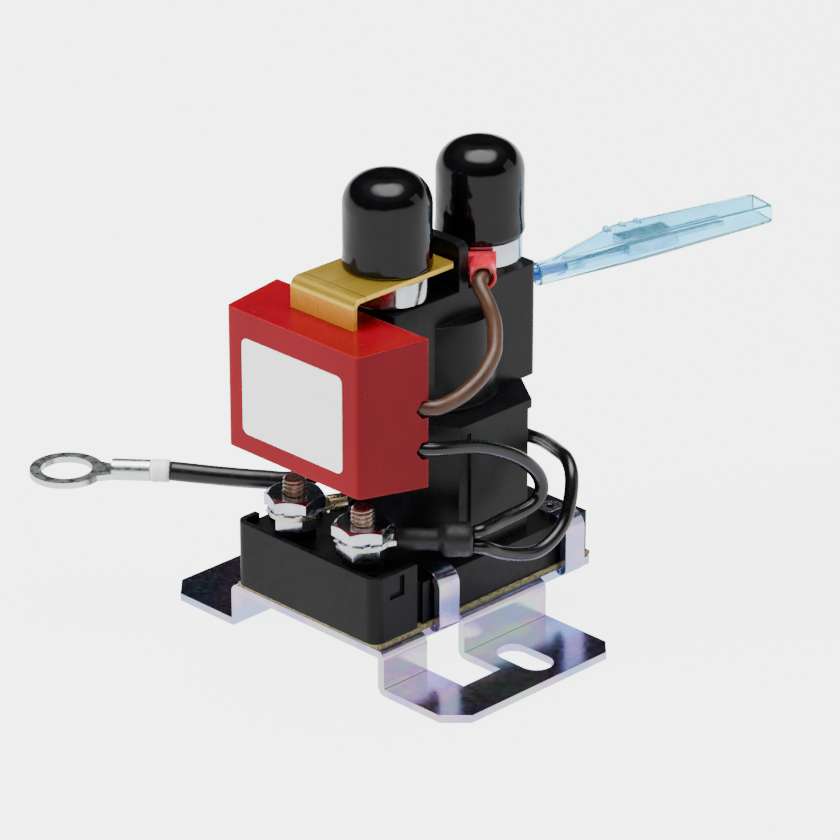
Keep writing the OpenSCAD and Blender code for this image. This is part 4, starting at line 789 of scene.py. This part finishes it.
def thread_tree():
    """Threaded rods in a row: each a cylinder whose side is cut by a helix, with a cone at its top."""
    made = Tree("stud_threads", (
        ("Radius", "Float"), ("Depth", "Float"), ("Pitch", "Float"), ("Length", "Float"), ("Cone", "Float"),
        ("Sides", "Int"), ("Rows", "Int"), ("Studs", "Int"), ("First Place", "Vector"), ("Step", "Vector"),
        ("Finish", "Material")))
    rod = made.add("GeometryNodeMeshCylinder", {
        "Vertices": made.value("Sides"), "Side Segments": made.value("Rows"), "Radius": made.value("Radius"),
        "Depth": made.value("Length")}).outputs["Mesh"]
    lifted = made.add("GeometryNodeTransform", {
        "Geometry": rod, "Translation": made.add("ShaderNodeCombineXYZ", {
            "Z": made.math("MULTIPLY", made.value("Length"), 0.5)}).outputs[0]}).outputs[0]
    where = made.add("ShaderNodeSeparateXYZ", {0: made.add("GeometryNodeInputPosition").outputs[0]}).outputs
    turn = made.math("DIVIDE", made.math("ARCTAN2", where["Y"], where["X"]), 2 * math.pi)
    phase = made.math("FRACT", made.math("SUBTRACT", made.math("DIVIDE", where["Z"], made.value("Pitch")), turn))
    flank = made.math("MULTIPLY", made.math("ABSOLUTE", made.math("SUBTRACT", phase, 0.5)), 2.0)
    root_flat, crest_flat, most_cut = 0.12, 0.88, 0.45    # shares of the flank and of the radius
    shaped = made.add("ShaderNodeMapRange", {
        "Value": flank, "From Min": root_flat, "From Max": crest_flat, "To Min": 0.0, "To Max": 1.0}).outputs[0]
    cut = made.math("MULTIPLY", shaped, made.value("Depth"))
    to_top = made.math("SUBTRACT", made.value("Length"), where["Z"])
    cone = made.math("MAXIMUM", made.math("SUBTRACT", made.value("Cone"), to_top), 0.0)
    most = made.math("MULTIPLY", made.value("Radius"), most_cut)
    inward = made.math("MINIMUM", made.math("MAXIMUM", cut, cone), most)
    keep = made.math("SUBTRACT", 1.0, made.math("DIVIDE", inward, made.value("Radius")))
    place = made.add("ShaderNodeCombineXYZ", {
        "X": made.math("MULTIPLY", where["X"], keep), "Y": made.math("MULTIPLY", where["Y"], keep),
        "Z": where["Z"]}).outputs[0]
    threaded = made.add("GeometryNodeSetPosition", {"Geometry": lifted, "Position": place}).outputs[0]
    made.finish(made.along_row("Studs", threaded))
    return made


def teeth_tree():
    """Teeth round each washer of a row, each turned a little about its own length."""
    made = Tree("washer_teeth", (
        ("Teeth", "Int"), ("Tooth Size", "Vector"), ("Tooth Place", "Vector"), ("Tilt", "Vector"),
        ("Washers", "Int"), ("First Place", "Vector"), ("Step", "Vector"), ("Finish", "Material")))
    tooth = made.add("GeometryNodeMeshCube", {"Size": made.value("Tooth Size")}).outputs["Mesh"]
    set_out = made.add("GeometryNodeTransform", {
        "Geometry": tooth, "Translation": made.value("Tooth Place"), "Rotation": made.value("Tilt")}).outputs[0]
    ring_points = made.add("GeometryNodePoints", {"Count": made.value("Teeth")}).outputs[0]
    share = made.math("DIVIDE", made.add("GeometryNodeInputIndex").outputs[0], made.value("Teeth"))
    turn = made.add("ShaderNodeCombineXYZ", {"Z": made.math("MULTIPLY", share, 2 * math.pi)}).outputs[0]
    ring = made.add("GeometryNodeInstanceOnPoints", {
        "Points": ring_points, "Instance": set_out, "Rotation": turn}).outputs[0]
    made.finish(made.along_row("Washers", ring))
    return made


def seed_mesh(name, parts):
    """One mesh of several (points, faces) parts."""
    points, faces = [], []
    for part_points, part_faces in parts:
        start = len(points)
        points += [tuple(p) for p in part_points]
        faces += [tuple(start + v for v in face) for face in part_faces]
    mesh = bpy.data.meshes.new(name)
    mesh.from_pydata(points, [], faces)
    return mesh


def turned_at(places, profile, sides):
    """The same turned part at each of the places."""
    return [turned(profile, place, sides=sides) for place in places]


coil_stud_feet = [spot(x, COIL_STUD_Y, 0) for x in (-COIL_STUD_X, COIL_STUD_X)]
main_stud_feet = [spot(0, y, 0) for y in (FRONT_STUD_Y, REAR_STUD_Y)]
COIL_STUD_STEP = spot(2 * COIL_STUD_X, 0, 0)

threads = thread_tree()
coil_heads = seed_mesh("coil_stud_heads", turned_at(
    coil_stud_feet, sized((0, 8.9), (3.8, 8.9), (4.04, 9.2), (4.04, COIL_HEAD_TOP), (0, COIL_HEAD_TOP)), 6))
threads.grow("coil_terminal_studs", coil_heads, {
    "Radius": 2.0 * MM, "Depth": 0.36 * MM, "Pitch": 0.7 * MM, "Length": 17.2 * MM, "Cone": 0.45 * MM, "Sides": 32,
    "Rows": 196, "Studs": 2, "First Place": spot(-COIL_STUD_X, COIL_STUD_Y, COIL_HEAD_TOP), "Step": COIL_STUD_STEP,
    "Finish": FINISHES["coil_stud"]}, "relay", "coil_stud_metal", ["coil_studs"], smooth_angle=40)
main_heads = seed_mesh("main_stud_heads", turned_at(
    main_stud_feet, sized((0, 54.4), (4.0, 54.4), (4.2, 54.6), (4.2, MAIN_HEAD_TOP), (0, MAIN_HEAD_TOP)), 48))
threads.grow("main_terminal_studs", main_heads, {
    "Radius": 3.0 * MM, "Depth": 0.5 * MM, "Pitch": 1.0 * MM, "Length": 15.5 * MM, "Cone": 0.7 * MM, "Sides": 40,
    "Rows": 124, "Studs": 2, "First Place": spot(0, FRONT_STUD_Y, MAIN_HEAD_TOP),
    "Step": spot(0, REAR_STUD_Y - FRONT_STUD_Y, 0),
    "Finish": FINISHES["collar"]}, "relay", "contact_silver", ["main_studs"], smooth_angle=40)

teeth = teeth_tree()
washer_discs = seed_mesh("washer_discs", turned_at(
    coil_stud_feet,
    sized((2.06, 23.12), (3.9, 23.12), (4.0, 23.2), (4.0, 23.6), (3.9, 23.68), (2.06, 23.68)), 48))
teeth.grow("toothed_lock_washers", washer_discs, {
    "Teeth": 10, "Tooth Size": (1.5 * MM, 1.15 * MM, 0.34 * MM), "Tooth Place": (4.2 * MM, 0.0, 0.0),
    "Tilt": (math.radians(16), 0.0, 0.0), "Washers": 2,
    "First Place": spot(-COIL_STUD_X, COIL_STUD_Y, WASHER_MIDDLE), "Step": COIL_STUD_STEP,
    "Finish": FINISHES["washer"]}, "relay", "nut_zinc", ["coil_lock_washers"], smooth_angle=30)


# Floor and light

floor_finish = Finish("studio_floor", Roughness=0.9, Specular_IOR_Level=0.1, Emission_Strength=4.4,
                      Emission_Color=tint(252, 254, 255))
floor_finish.set(Base_Color=floor_finish.mottled(
    floor_finish.cloud(3, 2), tint(140, 142, 142), tint(144, 146, 146)))
floor_mesh = bpy.data.meshes.new("studio_floor")
FLOOR_REACH, FLOOR_HEIGHT = 8.0, -0.0002
floor_mesh.from_pydata([(FLOOR_REACH * x, FLOOR_REACH * y, FLOOR_HEIGHT) for x, y in (
    (-1, -1), (1, -1), (1, 1), (-1, 1))], [], [(0, 1, 2, 3)])
floor_mesh.materials.append(floor_finish.material)
floor = bpy.data.objects.new("studio_floor", floor_mesh)
bpy.context.scene.collection.objects.link(floor)
floor.visible_glossy = False
floor.visible_diffuse = False

# How bright the dome is at each height, from 0 at the horizon to 1 at the zenith; below the horizon it stays as at 0
DOME = ((0.0, 1.7), (0.10, 1.4), (0.22, 0.012), (0.60, 0.012), (0.86, 0.3), (0.95, 8.0))
BLUER = 1.01

world = bpy.data.worlds.new("studio_world")
bpy.context.scene.world = world
world.use_nodes = True
sky = world.node_tree
sky_shader = sky.nodes["Background"]
direction = sky.nodes.new("ShaderNodeTexCoord")
parts_of = sky.nodes.new("ShaderNodeSeparateXYZ")
dome = sky.nodes.new("ShaderNodeValToRGB")
sky.links.new(direction.outputs["Generated"], parts_of.inputs[0])
sky.links.new(parts_of.outputs["Z"], dome.inputs["Fac"])
sky.links.new(dome.outputs[0], sky_shader.inputs["Color"])
stops = dome.color_ramp.elements
while len(stops) < len(DOME):
    stops.new(0.5)
for stop, (height, shade) in zip(stops, DOME):
    stop.position = height
    stop.color = (shade, shade, shade * BLUER, 1)
sky_shader.inputs["Strength"].default_value = 1.0


LIGHTS_AIM = Vector((0, 0, 0.03))


def soft_box(name, place, size, watts, mirrored=False):
    """A square soft light that faces the relay; bright metal only shows the mirrored ones."""
    data = bpy.data.lights.new(name, "AREA")
    data.shape = "SQUARE"
    data.size = size
    data.energy = watts
    box = bpy.data.objects.new(name, data)
    bpy.context.scene.collection.objects.link(box)
    toward = (place - LIGHTS_AIM).normalized()
    box.visible_glossy = mirrored
    box.matrix_world = Matrix.Translation(place) @ toward.to_track_quat("Z", "Y").to_matrix().to_4x4()


# The card stands where the bracket's legs and flanges together mirror it towards the camera
card_place = Vector((toward_camera.x, -toward_camera.y, toward_camera.z)) * 1.3
soft_box("overhead_light", Vector((-0.15, 0.25, 1.3)), 0.9, 10)
soft_box("left_light", Vector((-0.5, -1.1, 0.6)), 0.5, 27)
soft_box("right_light", Vector((1.1, 0.35, 0.6)), 0.45, 5)
soft_box("card_light", card_place, 0.62, 1.2, mirrored=True)
